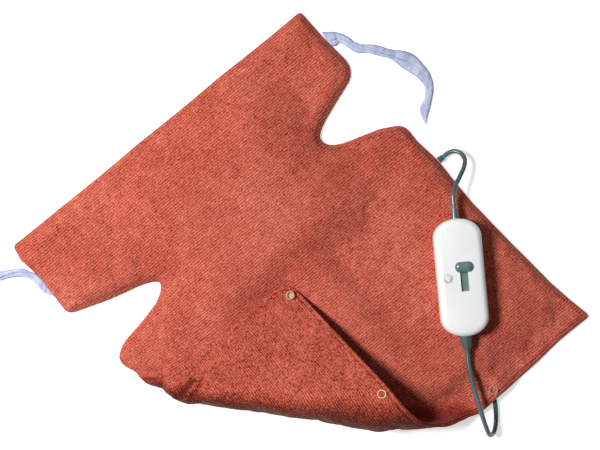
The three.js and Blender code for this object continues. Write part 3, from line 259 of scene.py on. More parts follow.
PLUSH_STOPS = [
    (0.16, srgb(126, 34, 22)), (0.40, srgb(184, 80, 62)), (0.58, srgb(207, 106, 87)),
    (0.84, srgb(240, 152, 132)),
]
BACK_STOPS = [
    (0.10, srgb(84, 24, 16)), (0.28, srgb(138, 50, 36)), (0.44, srgb(184, 82, 64)),
    (0.60, srgb(206, 104, 84)), (0.86, srgb(238, 142, 120)),
]
PLUSH = plush_material("plush", PLUSH_STOPS)
PLUSH_BACK = plush_material("plush_back", BACK_STOPS, pile=1.1, grain=500)
HOUSING = moulded_material("housing", srgb(252, 252, 252), srgb(244, 246, 247), 0.34, 0.05, 700, 0.15)
CORD_MAT = moulded_material("cord_jacket", srgb(88, 113, 113), srgb(66, 89, 89), 0.3, 0.12, 1200, 0.3)
FITTING = moulded_material("cord_fittings", srgb(90, 114, 114), srgb(72, 94, 94), 0.38, 0.12, 1000, 0.15)
SLIDER = moulded_material("slider", srgb(110, 140, 143), srgb(88, 116, 119), 0.36, 0.1, 1000, 0.2)
PLATE = moulded_material("slider_plate", srgb(106, 141, 130), srgb(90, 123, 113), 0.5, 0.1, 1000, 0.05)
BRASS = moulded_material("snap_metal", srgb(244, 220, 184), srgb(214, 184, 142), 0.3, 0.1, 900, 0, 0.7)
PIN = moulded_material("plug_pin_metal", srgb(214, 216, 220), srgb(180, 184, 190), 0.22, 0.05, 900, 0, 1.0)
SCREW = moulded_material("screw_steel", srgb(170, 174, 178), srgb(130, 134, 138), 0.35, 0.08, 900, 0, 1.0)
FELT = moulded_material("felt", srgb(232, 226, 212), srgb(208, 200, 184), 0.95, 0.8, 600)
SLEEVE = moulded_material("wire_sleeve", srgb(224, 218, 204), srgb(198, 190, 172), 0.6, 0.2, 900)
INNER = moulded_material("inner_parts", srgb(72, 80, 82), srgb(54, 60, 62), 0.5, 0.2, 900)
BOARD = moulded_material("board", srgb(60, 118, 80), srgb(44, 94, 62), 0.4, 0.1, 800, 0.3)
LAMP = moulded_material("lamp_glass", srgb(226, 170, 140), srgb(206, 140, 108), 0.1, 0.02, 500, 0.5)
RESISTOR = moulded_material("resistor_body", srgb(190, 168, 122), srgb(164, 140, 96), 0.6, 0.2, 900)

# Cords
CORD = 5.5
COIL_CENTRE = (-4.0, 118.0)
COIL_OUTER, COIL_PITCH, COIL_TURNS = 39.0, 6.1, 3
COIL_LOW = 1.3 + CORD / 2
COIL_HIGH = COIL_LOW + COIL_PITCH
FLOOR_Z = 0.35 + CORD / 2
COIL_START = COIL_CENTRE[0] + COIL_OUTER
PLUG_Z = 0.3 + 13.7 / 2

mains_over = [
    (115.8, -177.4, 25.7), (112.2, -182.7, 25.8), (105.6, -192.6, 26.4), (98.6, -206.2, 27.2),
    (91.2, -221.6, 28), (84.6, -237.2, 28.4), (78.6, -252.4, 27.2), (74.6, -264.6, 22.6),
    (74, -272, 14.8), (79.6, -273.4, 6.6), (88.4, -266.8, 3.2), (97, -256.4, FLOOR_Z),
]
mains_under = [
    (104.2, -245), (108.4, -235.6), (109.2, -225.6), (106.2, -214.6), (98.6, -205.6), (86.4, -193.9),
    (73.6, -181.5), (60.8, -169.1), (49.2, -157.8), (41.2, -148.4), (36.6, -137.4), (COIL_START, -124),
    (COIL_START, -100), (COIL_START, -70), (COIL_START, -40), (COIL_START, -10), (COIL_START, 20),
    (COIL_START, 50), (COIL_START, 76), (COIL_START, 94), (COIL_START, 104),
]
mains_under = [(x, y, FLOOR_Z + (COIL_LOW - FLOOR_Z) * float(smooth((y - 50) / 50))) for x, y in mains_under]
coil_points = []
COIL_STEPS = 48
for i in range(COIL_TURNS * 2 * COIL_STEPS + 1):
    turns = i / COIL_STEPS
    radius = COIL_OUTER - COIL_PITCH * (COIL_TURNS - abs(turns - COIL_TURNS))
    z = COIL_LOW + COIL_PITCH * float(smooth((turns - COIL_TURNS) * 2 + 0.5))
    angle = turns * 2 * math.pi
    x, y = COIL_CENTRE[0] + radius * math.cos(angle), COIL_CENTRE[1] + radius * math.sin(angle)
    coil_points.append((x, y, z))
tail = [
    (COIL_START, 124, COIL_HIGH), (COIL_START, 130, COIL_HIGH), (36.8, 137.4, 9.9), (41.6, 142.6, 9.5),
    (48.5, 144.6, 8.9), (55.4, 142.6, 8.2), (60.2, 137.4, 7.6), (62, 130, PLUG_Z), (62, 124, PLUG_Z),
]
mains_path = np.vstack([catmull(mains_over + mains_under, 2.0), coil_points, catmull(tail, 2.0)])
mains = cord_object("mains_lead_cord", mains_path, CORD, CORD_MAT)
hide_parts("mains_lead", "mains_lead_coil", "mains_lead_tail")
print("mains lead length", round(length_of(mains_path), 1), "mm")

pad_lead_points = [
    (235.6, 7, 4.6), (241.2, 6.9, 5.2), (248.2, 4.2, 7.2), (252.2, -2.6, 10.6), (250.8, -10.6, 14.4),
    (243.6, -17, 17.8), (233.4, -21.8, 21), (222, -27, 24), (214, -32.8, 25.5), (209, -39.2, 25.7),
    (205, -45.1, 25.7),
]
pad_path = catmull(pad_lead_points, 1.5)
pad_lead = cord_object("pad_lead_cord", pad_path, CORD, CORD_MAT)
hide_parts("pad_lead")
print("pad lead length", round(length_of(pad_path), 1), "mm")

# The pad's flat cut and its fold
# Each side's corners: how far from the middle line, how far below the top edge, and how round
TOP_EDGE = 238.0
DEPTH = 476
RIGHT = dict(
    collar=212, collar_round=5, end=220, end_drop=91, end_round=20, notch=113, notch_drop=131, notch_round=56,
    shoulder=223, shoulder_drop=175, shoulder_round=12, hem=247, hem_drop=DEPTH, hem_round=5,
)
LEFT = dict(
    collar=212, collar_round=5, end=213, end_drop=98, end_round=9,
    notch=87.6, notch_drop=137.6, notch_round=44,
    shoulder=204, shoulder_drop=170, shoulder_round=30, hem=205, hem_drop=470, hem_round=20,
)
THICK, NEUTRAL, RIM, RIM_THICK = 12.4, 6.2, 18.0, 4.3
HEM_LINE, HEM_BAND, HEM_SLOPE = TOP_EDGE - DEPTH, 22.0, 12.0
FOLD_ANGLE = math.radians(-41)
FOLD_RADIUS, FOLD_WIDEN, FLAP_REACH, FLAP_CLEAR = 21.4, 0.076, 104.5, 0.3
AXIS = np.array([math.cos(FOLD_ANGLE), math.sin(FOLD_ANGLE)])
OUT = np.array([AXIS[1], -AXIS[0]])


def side_corners(side, sign):
    return [(sign * side[a], TOP_EDGE - (side[a + "_drop"] if a != "collar" else 0), side[a + "_round"])
            for a in ("collar", "end", "notch", "shoulder", "hem")]


HEM_MIDDLE = (90, TOP_EDGE - 485, 70)
CORNERS = side_corners(LEFT, -1) + [HEM_MIDDLE] + side_corners(RIGHT, 1)[::-1]


def outline(step):
    """The flat pad's outline as points about step apart, its corners rounded."""
    points = []
    count = len(CORNERS)
    for i, (x, y, rounding) in enumerate(CORNERS):
        here = np.array([x, y], float)
        into = here - np.array(CORNERS[i - 1][:2])
        into /= np.linalg.norm(into)
        away = np.array(CORNERS[(i + 1) % count][:2]) - here
        away /= np.linalg.norm(away)
        start, end = here - into * rounding, here + away * rounding
        steps = max(int(rounding * 1.9 / step), 5)
        for k in range(steps + 1):
            t = k / steps
            points.append((1 - t) ** 2 * start + 2 * t * (1 - t) * here + t ** 2 * end)
    out = []
    for i, p in enumerate(points):
        q = points[(i + 1) % len(points)]
        span = np.linalg.norm(q - p)
        for k in range(max(int(round(span / step)), 1)):
            out.append(p + (q - p) * k / max(int(round(span / step)), 1))
    return np.array(out)


def outline_distance(points, line):
    """Distance of each point to the closed outline."""
    a = line
    b = np.roll(line, -1, axis=0)
    best = np.full(len(points), 1e9)
    for s in range(0, len(points), 4000):
        p = points[s:s + 4000][:, None, :]
        run = ((b - a) ** 2).sum(1)
        t = np.clip(((p - a) * (b - a)).sum(2) / run, 0, 1)
        near = a + t[..., None] * (b - a)
        best[s:s + 4000] = np.sqrt(((p - near) ** 2).sum(2)).min(1)
    return best


def outward(xy):
    """How far flat places lie out across the fold, from the collar's middle."""
    return (xy - np.array([0, TOP_EDGE])) @ OUT


def along(xy):
    """How far flat places lie along the fold."""
    return (xy - np.array([0, TOP_EDGE])) @ AXIS


FLAP_TIP = np.array([-float(LEFT["hem"]), TOP_EDGE - LEFT["hem_drop"]])
TIP_ALONG = float(along(FLAP_TIP))
FOLD_START = float(outward(FLAP_TIP)) - RIM * math.sqrt(2) - FLAP_REACH - math.pi * FOLD_RADIUS
FOLD_TURN = math.pi + math.atan2(2 * FOLD_RADIUS - THICK - FLAP_CLEAR, FLAP_REACH)

UNDER_LINE = np.array([p[:2] for p in mains_under] + [(COIL_START, 112.2)])
MOUND_HEIGHT, RIDGE_HEIGHT = 14.6, 8.4
RIDGE_REACH, RIDGE_SLOPE = 40, 32
# The mound's level middle, and the width of the slope on each of its sides
MOUND_LEFT, MOUND_RIGHT, MOUND_FRONT, MOUND_BACK = -50, 79, 46, 165
LEFT_SLOPE, RIGHT_SLOPE, FRONT_SLOPE, BACK_SLOPE = 60, 76, 50, 62


def fold_radius(xy):
    """The fold's radius at flat places: it widens along the fold."""
    return FOLD_RADIUS + FOLD_WIDEN * (along(xy) - TIP_ALONG)


def lift_at(xy):
    """How far the coil and the lead under the pad lift it."""
    x, y = xy[:, 0], xy[:, 1]
    side = np.maximum(np.maximum((MOUND_LEFT - x) / LEFT_SLOPE, (x - MOUND_RIGHT) / RIGHT_SLOPE), 0)
    length = np.maximum(np.maximum((MOUND_FRONT - y) / FRONT_SLOPE, (y - MOUND_BACK) / BACK_SLOPE), 0)
    mound = MOUND_HEIGHT * smooth(1 - side) * smooth(1 - length)
    least = np.full(len(xy), 1e9)
    for a, b in zip(UNDER_LINE[:-1], UNDER_LINE[1:]):
        run = ((b - a) ** 2).sum()
        t = np.clip(((xy - a) @ (b - a)) / run, 0, 1)
        least = np.minimum(least, np.linalg.norm(xy - a - t[:, None] * (b - a), axis=1))
    ridge = RIDGE_HEIGHT * smooth((RIDGE_REACH - least) / RIDGE_SLOPE)
    over = np.abs(mound - ridge)
    return np.maximum(mound, ridge) + np.exp(-over / 2.5) * np.minimum(mound, ridge) * 0.1


def lay(xy, h):
    """Where points of the flat pad, h above its underside, come to lie, in millimetres."""
    out = outward(xy)
    radius = fold_radius(xy)
    turn = np.clip((out - FOLD_START) / radius, 0, FOLD_TURN)
    over = np.maximum(out - FOLD_START - FOLD_TURN * radius, 0)
    bend = radius - h + NEUTRAL
    flat = out <= FOLD_START
    reach = np.where(flat, out, FOLD_START + bend * np.sin(turn) + over * np.cos(turn))
    z = np.where(flat, h, NEUTRAL + radius - bend * np.cos(turn) + over * np.sin(turn))
    z = z + lift_at(xy) * smooth(1 - turn / 1.3)
    place = np.array([0, TOP_EDGE]) + along(xy)[:, None] * AXIS + reach[:, None] * OUT
    return np.column_stack([place, z])


def heights(xy, d):
    """Underside and top of the pad at points d inside its outline."""
    rise = 0.78 * smooth(np.clip(d / 9, 0, 1)) + 0.22 * smooth(np.clip((d - 5) / 13, 0, 1))
    band = np.clip((xy[:, 1] - HEM_LINE - HEM_BAND + 6) / (HEM_SLOPE + 24), 0, 1)
    limit = 0.33 + 0.67 * smooth(band)
    full = np.minimum(rise, limit)
    top = RIM_THICK + (THICK - RIM_THICK) * full
    under = 0.5 * (1 - smooth(np.clip(d / 6, 0, 1)))
    edge = np.sqrt(1 - (1 - np.clip(d / 2.4, 0, 1)) ** 2)
    middle = RIM_THICK / 2
    return middle - (middle - under) * edge, middle + (top - middle) * edge


def wrinkle(xy, d):
    """Soft folds of the cloth, in millimetres along its normal."""
    out = np.empty(len(xy))
    for i, (x, y) in enumerate(xy):
        a = noise.noise(Vector((x / 62, y / 62, 3.1)))
        b = noise.noise(Vector((x / 27, y / 27, 8.7)))
        c = noise.noise(Vector((x / 9, y / 9, 1.7)))
        out[i] = 0.6 * a + 0.3 * b + 0.14 * c
    return out * smooth(np.clip(d / 14, 0, 1))


OUTLINE_STEP = 2.4
RING_OFFSETS = (0.35, 1.0, 2.2, 3.6, 4.6, 5.4, 6.2, 7.4)


def squashed_end(xy):
    """Whether flat places lie at the left end of the fold, where its creases need a closer mesh."""
    out, way = outward(xy) - FOLD_START, along(xy)
    return (out > -12) & (out < 78) & (way > -75) & (way < 62)


def pad_mesh(step):
    """Flat places, triangles and distances from the outline: rings by the rim, and a grid of step inside."""
    line = outline(OUTLINE_STEP)
    inward = np.roll(line, -1, axis=0) - np.roll(line, 1, axis=0)
    inward = np.column_stack([-inward[:, 1], inward[:, 0]])
    inward /= np.linalg.norm(inward, axis=1)[:, None]
    rings = [line + inward * offset for offset in RING_OFFSETS]
    low, high = line.min(0), line.max(0)
    xs = np.arange(low[0], high[0], step)
    ys = np.arange(low[1], high[1], step * 0.866)
    grid = np.array([(x + (step / 2 if j % 2 else 0), y) for j, y in enumerate(ys) for x in xs])
    squashed = squashed_end(grid)
    if step < 5:
        xs, ys = np.arange(-215, -60, 2.0), np.arange(-150, 75, 1.75)
        closer = np.array([(x + (1 if j % 2 else 0), y) for j, y in enumerate(ys) for x in xs])
        grid = np.vstack([grid[~squashed], closer[squashed_end(closer)]])
    edge = list(range(len(line)))
    verts = [Vector(p) for p in line] + [Vector(p) for ring in rings for p in ring]
    distance = outline_distance(grid, line)
    inside = inside_outline(grid, line)
    grid = grid[(distance > 8.8) & inside]
    verts += [Vector(p) for p in grid]
    edges = [(k, (k + 1) % len(line)) for k in edge]
    result = flat_geometry.delaunay_2d_cdt(verts, edges, [edge], 1, 1e-4)
    flat = np.array([tuple(v) for v in result[0]])
    faces = [tuple(f) for f in result[2]]
    d = outline_distance(flat, line)
    d[d < 1e-3] = 0
    return flat, faces, d


def inside_outline(points, line):
    """Whether points lie inside the closed outline."""
    x, y = points[:, 0], points[:, 1]
    inside = np.zeros(len(points), bool)
    j = len(line) - 1
    for i in range(len(line)):
        xi, yi = line[i]
        xj, yj = line[j]
        crosses = ((yi > y) != (yj > y)) & (x < (xj - xi) * (y - yi) / (yj - yi + 1e-12) + xi)
        inside ^= crosses
        j = i
    return inside


def to_photo(points):
    """Where points in millimetres show in the photograph, in its pixels."""
    scale = PIXEL * (1 - points[:, 2] / CAM_HEIGHT)
    x, y = (points[:, 0] - CAM_X) / scale, (points[:, 1] - CAM_Y) / scale
    return np.column_stack([MIDDLE_X + TURN_COS * x - TURN_SIN * y, MIDDLE_Y - TURN_SIN * x - TURN_COS * y])


def photo_shift(points, shift):
    """The points moved level by a shift given in the photograph's pixels."""
    scale = PIXEL * (1 - points[:, 2] / CAM_HEIGHT)
    moved = points.copy()
    moved[:, 0] += (TURN_COS * shift[:, 0] - TURN_SIN * shift[:, 1]) * scale
    moved[:, 1] += (-TURN_SIN * shift[:, 0] - TURN_COS * shift[:, 1]) * scale
    return moved


# Places on the laid pad's outline and how far the cloth is pulled there, both in the photograph's pixels
PULLS = [
    (17, 247, -1.7, -2), (60, 210, -1.5, -1.7), (140, 145, -1.5, -1.9), (220, 79, -1.7, -2),
    (299, 15, 0, -2.5), (325, 40, 0, 0), (345, 60, 0.3, -0.4), (349, 80, 0.3, -0.3), (338, 100, -0.8, 0),
    (322, 138, -1.6, -0.8), (331, 146, 0.6, -1), (360, 139, -0.3, -3), (380, 133, -0.6, -4.4),
    (400, 128, 0, -2), (418, 140, -1, 1), (434, 156, 0, 0), (441, 163, 0, 0), (458, 181, -1.8, 1.7),
    (476, 200, -3.1, 3), (495, 220, -3.1, 3), (514, 240, -3.1, 2.9), (533, 260, -2.6, 2.5),
    (552, 280, -2.5, 2.4), (570, 298, -1, 0.9), (583, 315, 3.2, 0.8), (558, 340, 0.2, 0.3),
    (536, 360, 0.9, 1), (514, 380, 0.5, 0.6), (496, 396, 0, 0), (478, 413, 0, 0), (468, 421, 0.5, -5),
    (458, 428, 0.5, -7), (448, 432, 0, -6.4), (438, 433, 0, -7), (428, 432, 0, -5), (418, 431, 0, -2.4),
    (398, 429, 0, 0), (378, 427, 0, 4), (358, 424, 0, 3), (338, 422, 0, 2), (318, 420, 0, 1),
    (288, 416, 0, 1), (258, 413, 0, -1), (238, 410, 0, -1), (218, 408, 0, -2), (203, 406, 0, -3),
    (188, 404, 0, -1.4), (178, 403, -0.5, -4), (174, 402.4, -0.5, -5.4), (170, 402, -0.5, -8),
    (166, 401.6, 0, -10), (162, 401.4, 1.5, -13.4), (156, 401, 2, -14), (151, 400.6, 2, -14.6),
    (147, 399, 1.4, -15.6), (142, 395, 3, -13.6), (137, 388, 2, -10.6), (132, 381, 2.4, -9.4),
    (128, 374, 1, -6), (124, 366, -1, -2.6), (122, 358, -2.6, 0), (126, 340, -1, 0), (140, 320, 2.6, 0),
    (152, 300, 2.6, 1.2), (160, 286, 0, 0), (140, 288, 0, 0), (110, 298, 0, 1.6), (70, 312, 0, 0),
    (56, 300, 1.4, 1), (40, 280, 1.4, -1), (24, 260, -3.4, 0.5),
]
# Places inside the outline where the cloth isn't pulled
HELD = [
    (60, 260), (100, 230), (150, 190), (220, 130), (290, 70), (300, 110), (280, 160), (200, 240),
    (250, 220), (320, 200), (380, 190), (420, 220), (460, 260), (500, 300), (440, 330), (491, 388),
    (460, 370), (376, 392), (330, 380), (291, 296), (260, 340), (220, 300), (190, 330), (170, 345),
    (210, 370), (400, 300), (360, 250), (430, 395), (530, 320),
]


def pulled(points):
    """The laid cloth, pulled level to the outline that the photograph shows."""
    knots = np.array([p[:2] for p in PULLS] + HELD, float)
    moves = np.array([p[2:] for p in PULLS] + [(0, 0)] * len(HELD), float)
    between = np.linalg.norm(knots[:, None] - knots[None], axis=2)
    weights = np.linalg.solve(between + 1e-6 * np.eye(len(knots)), moves)
    at = to_photo(points)
    shift = np.empty_like(at)
    for s in range(0, len(at), 4000):
        shift[s:s + 4000] = np.linalg.norm(at[s:s + 4000, None] - knots[None], axis=2) @ weights
    return photo_shift(points, shift)


def line_distance(points, line):
    """Distance of points to an open line."""
    best = np.full(len(points), 1e9)
    for a, b in zip(np.array(line[:-1], float), np.array(line[1:], float)):
        t = np.clip(((points - a) @ (b - a)) / ((b - a) ** 2).sum(), 0, 1)
        best = np.minimum(best, np.linalg.norm(points - a - t[:, None] * (b - a), axis=1))
    return best


# Creases in the squashed end of the fold: a line in the photograph's pixels, then the width and the depth
# in millimetres
CREASES = [
    ([(193, 380), (187, 387), (181, 393), (176, 399)], 3.4, 3.2),
    ([(162, 376), (152, 379), (143, 380)], 2.0, 2.0),
    ([(203, 378), (198, 388), (193, 397)], 3.2, 1.6),
    ([(168, 366), (160, 386), (158, 392)], 3.0, 1.5),
]


# How far the flap's hem is lifted and its edge let down at most, in millimetres
GAPE, LET_DOWN = 7.5, 3.0


def settle(xy, d, points, top_points, is_lower):
    """The flap's edge let down and its hem lifted, and the creases where the fold's end is squashed."""
    turn = np.clip((outward(xy) - FOLD_START) / fold_radius(xy), 0, FOLD_TURN)
    folded = smooth((turn - 2.4) / 0.6)
    gap = top_points[:, 2] - THICK - lift_at(top_points[:, :2]) - 0.5
    down = np.clip(gap, 0, LET_DOWN) * smooth(1 - d / 26) * smooth((34 - gap) / 26)
    gape = GAPE * smooth((xy[:, 0] + 186) / 46) * smooth((32 - gap) / 16)
    gape *= smooth(1 - (xy[:, 1] - HEM_LINE) / 48)
    points = points.copy()
    points[:, 2] += (gape - down) * folded
    seen = smooth((turn - 0.9) / 0.5) if is_lower else smooth((0.9 - turn) / 0.5)
    points[:, 2] -= creased(points) * seen
    return points


def creased(points):
    """How deep the creases of the squashed end are at laid points, in millimetres."""
    at = to_photo(points)
    return sum(
        deep * np.exp(-(line_distance(at, line) * PIXEL / width) ** 2) for line, width, deep in CREASES
    )


flat, faces, depth = pad_mesh(4.0)
under, top = heights(flat, depth)
crease = wrinkle(flat, depth)
hem_side = 1 - smooth((flat[:, 1] - HEM_LINE - 16) / 8)
hem_stitch = np.exp(-(((depth - 5.4) / 0.8) ** 2)) * (0.45 + 0.75 * hem_side)
laid_top = lay(flat, top)
upper = pulled(settle(flat, depth, lay(flat, top + crease - hem_stitch), laid_top, False))
lower = pulled(settle(flat, depth, lay(flat, under + np.where(depth > 0, hem_stitch, 0)
                                       - np.minimum(crease, 0) * 0.6), laid_top, True))
rim = depth == 0
upper_index = np.arange(len(flat))
lower_index = np.where(rim, upper_index, 0)
free = np.flatnonzero(~rim)
lower_index[free] = len(flat) + np.arange(len(free))
vertices = np.vstack([upper, lower[free]]) * MM
all_faces = [tuple(int(upper_index[i]) for i in f) for f in faces]
all_faces += [tuple(int(lower_index[i]) for i in reversed(f)) for f in faces]
pad = new_object("pad_cover", vertices, all_faces, PLUSH)
pad.data.materials.append(PLUSH_BACK)
pad.data.polygons.foreach_set("material_index", [0] * len(faces) + [1] * len(faces))
turned = np.clip((outward(flat) - FOLD_START) / fold_radius(flat), 0, 3.4)
# Painted shade for the plush colour: darker over the roll of the fold, in the creases of the squashed end on
# the outer layer, and along the groove of the hem seam.
painted_shade = smooth((turned - 0.1) / 0.8) * smooth((3.3 - turned) / 1.1)
shade_layer = pad.data.attributes.new("painted_shade", "FLOAT", "POINT")
crease_shade = np.clip(creased(lower) / 3.2, 0, 1.6) * smooth((turned - 0.9) / 0.5)
seam_shade = hem_stitch * 0.5
shade_layer.data.foreach_set("value", np.concatenate([painted_shade + seam_shade, (painted_shade + crease_shade + seam_shade)[free]]))
layer = pad.data.uv_layers.new(name="flat")
flat_all = np.vstack([flat, flat[free]]) * MM
loops = np.empty(len(pad.data.loops), int)
pad.data.loops.foreach_get("vertex_index", loops)
layer.data.foreach_set("uv", flat_all[loops].ravel())


def swell(piece, held, cap):
    """How far its filling pushes a piece out as cloth where it isn't held, at most cap metres."""
    began = time.time()
    copy = piece.copy()
    copy.data = piece.data.copy()
    copy.name = "cloth_trial"
    scene.collection.objects.link(copy)
    group = copy.vertex_groups.new(name="held")
    for i, weight in enumerate(held):
        if weight > 0.01:
            group.add([i], float(weight), "REPLACE")
    cloth = copy.modifiers.new("cloth", "CLOTH")
    settings = cloth.settings
    settings.quality = 4
    settings.mass = 0.25
    settings.tension_stiffness = settings.compression_stiffness = 25
    settings.shear_stiffness = 12
    settings.bending_stiffness = 1.5
    settings.vertex_group_mass = "held"
    settings.pin_stiffness = 1.0
    settings.use_pressure = True
    settings.uniform_pressure_force = 3.0
    settings.shrink_min = -0.02
    settings.effector_weights.gravity = 0.0
    cloth.collision_settings.use_collision = False
    cloth.point_cache.frame_start, cloth.point_cache.frame_end = 1, 16
    start = scene.frame_current
    for frame_number in range(1, 17):
        scene.frame_set(frame_number)
    result = copy.evaluated_get(bpy.context.evaluated_depsgraph_get()).to_mesh()
    count = len(piece.data.vertices)
    before, after = np.empty(count * 3), np.empty(count * 3)
    piece.data.vertices.foreach_get("co", before)
    result.vertices.foreach_get("co", after)
    before, after = before.reshape(-1, 3), after.reshape(-1, 3)
    move = after - before
    size = np.linalg.norm(move, axis=1)
    print("cloth moved", round(float(size.mean()) * 1000, 2), "mm on average, at most",
          round(float(size.max()) * 1000, 2), "in", round(time.time() - began, 1), "s")
    move *= (cap * np.tanh(size / cap) / np.maximum(size, 1e-9))[:, None]
    bpy.data.objects.remove(copy)
    scene.frame_set(start)
    return move


# The rim, three places along the hem and the cloth on the floor are held while the cover swells
HEM_HOLDS = ((-90, -229), (0, -229), (90, -229))
HOLD_REACH = 12
SWELL_CAP = 0.0022
on_floor = turned[free] < 1.0
seam_hold = 1 - smooth((depth - 6) / 6)
for at in HEM_HOLDS:
    seam_hold = np.maximum(seam_hold, np.exp(-(((flat - at) ** 2).sum(1)) / HOLD_REACH ** 2))
hold = np.concatenate([seam_hold, np.maximum(seam_hold[free], on_floor)])
moved = swell(pad, hold, SWELL_CAP)
moved *= (1 - hold)[:, None]
pad.data.vertices.foreach_set("co", (vertices + moved).ravel())
pad.data.update()
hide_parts("cover_back", "cover_front")


def inner_pad(name, node, low, high):
    """One felt layer inside the cover, from low to high above the pad's underside."""
    xy, tris, d = core
    full = heights(xy, d)[1] > THICK - 0.15
    full &= ~squashed_end(xy) | (d > 34)
    keep = [f for f in tris if all(full[i] for i in f)]
    used = sorted({i for f in keep for i in f})
    number = {i: k for k, i in enumerate(used)}
    tris = [tuple(number[i] for i in f) for f in keep]
    xy = xy[used]
    laid = lay(xy, np.full(len(xy), THICK))
    tops, bottoms = (
        pulled(settle(xy, d[used], lay(xy, np.full(len(xy), h)), laid, True)) for h in (high, low)
    )
    count = len(xy)
    ways = {(f[k], f[(k + 1) % 3]) for f in tris for k in range(3)}
    walls = [(a + count, b + count, b, a) for a, b in ways if (b, a) not in ways]
    solid = tris + [tuple(i + count for i in reversed(f)) for f in tris] + walls
    obj = new_object(name, np.vstack([tops, bottoms]) * MM, solid, FELT, shade=False)
    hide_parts(node)


core = pad_mesh(8.0)
inner_pad("inner_felt_back", "inner_pad_back", 2.3, 4.5)
inner_pad("inner_felt_front", "inner_pad_front", 7.3, 9.4)


# Ribbons
def ribbon_material():
    """Pale satin with a fine weave across its length."""
    n = Nodes("satin_ribbon")
    uv = n.add("UVMap", uv_map="flat").outputs["UV"]
    coords = n.add("TexCoord").outputs["Object"]
    weave = n.add("TexWave", {"Vector": uv, "Scale": 900.0, "Distortion": 0.6},
                  wave_type="BANDS", bands_direction="Y").outputs["Fac"]
    wide = n.noise(coords, 60, 2.0)
    mixed = n.math("ADD", n.math("MULTIPLY", weave, 0.25), n.math("MULTIPLY", wide, 0.75))
    n.link(n.ramp(mixed, [(0.25, srgb(152, 163, 200)), (0.7, srgb(202, 210, 238))]), "Base Color")
    n.link(n.bump(weave, 0.3, 0.0002), "Normal")
    n.set(Roughness=0.42, Sheen_Weight=0.3, Specular_IOR_Level=0.5)
    return n.material


RIBBON = ribbon_material()
# The edges of the two ribbons in the photograph's pixels, and the left one's middle line beyond the picture,
# in millimetres
RIGHT_OUTER = [
    (321, 31.5), (326, 32), (332, 31.6), (340, 33.2), (348, 37), (354, 41.4), (360, 44.2), (374, 44.6),
    (390, 49.2), (404, 51), (414, 55), (422, 63.4), (430, 74), (433.4, 88), (431.4, 102), (428.4, 114),
    (425.8, 124),
]
RIGHT_INNER = [
    (330, 46), (333, 46.6), (336, 46.2), (340, 43.4), (346, 46.6), (351, 50), (357, 53), (368, 53.4),
    (380, 56.4), (391, 59.4), (401, 67.4), (410, 73), (418, 78.6), (424.4, 87), (424.6, 97), (419.4, 110),
    (425, 124),
]
LEFT_OUTER = [
    (57, 297), (54, 293.6), (50, 289), (44, 281), (37, 274.4), (30, 271.2), (24, 268.8), (15, 268.6),
    (7.5, 270), (0, 271.6),
]
LEFT_INNER = [
    (55, 297.4), (51, 295.4), (46, 293.6), (40.5, 289.6), (35.6, 283.6), (30.4, 279.2), (24, 277),
    (16, 277.2), (7.5, 278.4), (0, 280.6),
]
LEFT_BEYOND = [
    (-252, 226), (-264, 232), (-274, 242), (-280, 255), (-284, 270), (-290, 284), (-301, 294),
]


def from_photo(pixels):
    """Pixels of the photograph as places on the floor, in millimetres."""
    x, y = np.array(pixels, float).T - [[MIDDLE_X], [MIDDLE_Y]]
    return np.column_stack([CAM_X + (TURN_COS * x - TURN_SIN * y) * PIXEL,
                            CAM_Y + (-TURN_SIN * x - TURN_COS * y) * PIXEL])


def offset_line(line, away):
    """A line moved away millimetres to its left."""
    line = np.array(line, float)
    ahead = np.gradient(line, axis=0)
    ahead /= np.linalg.norm(ahead, axis=1)[:, None]
    return line + np.column_stack([-ahead[:, 1], ahead[:, 0]]) * away


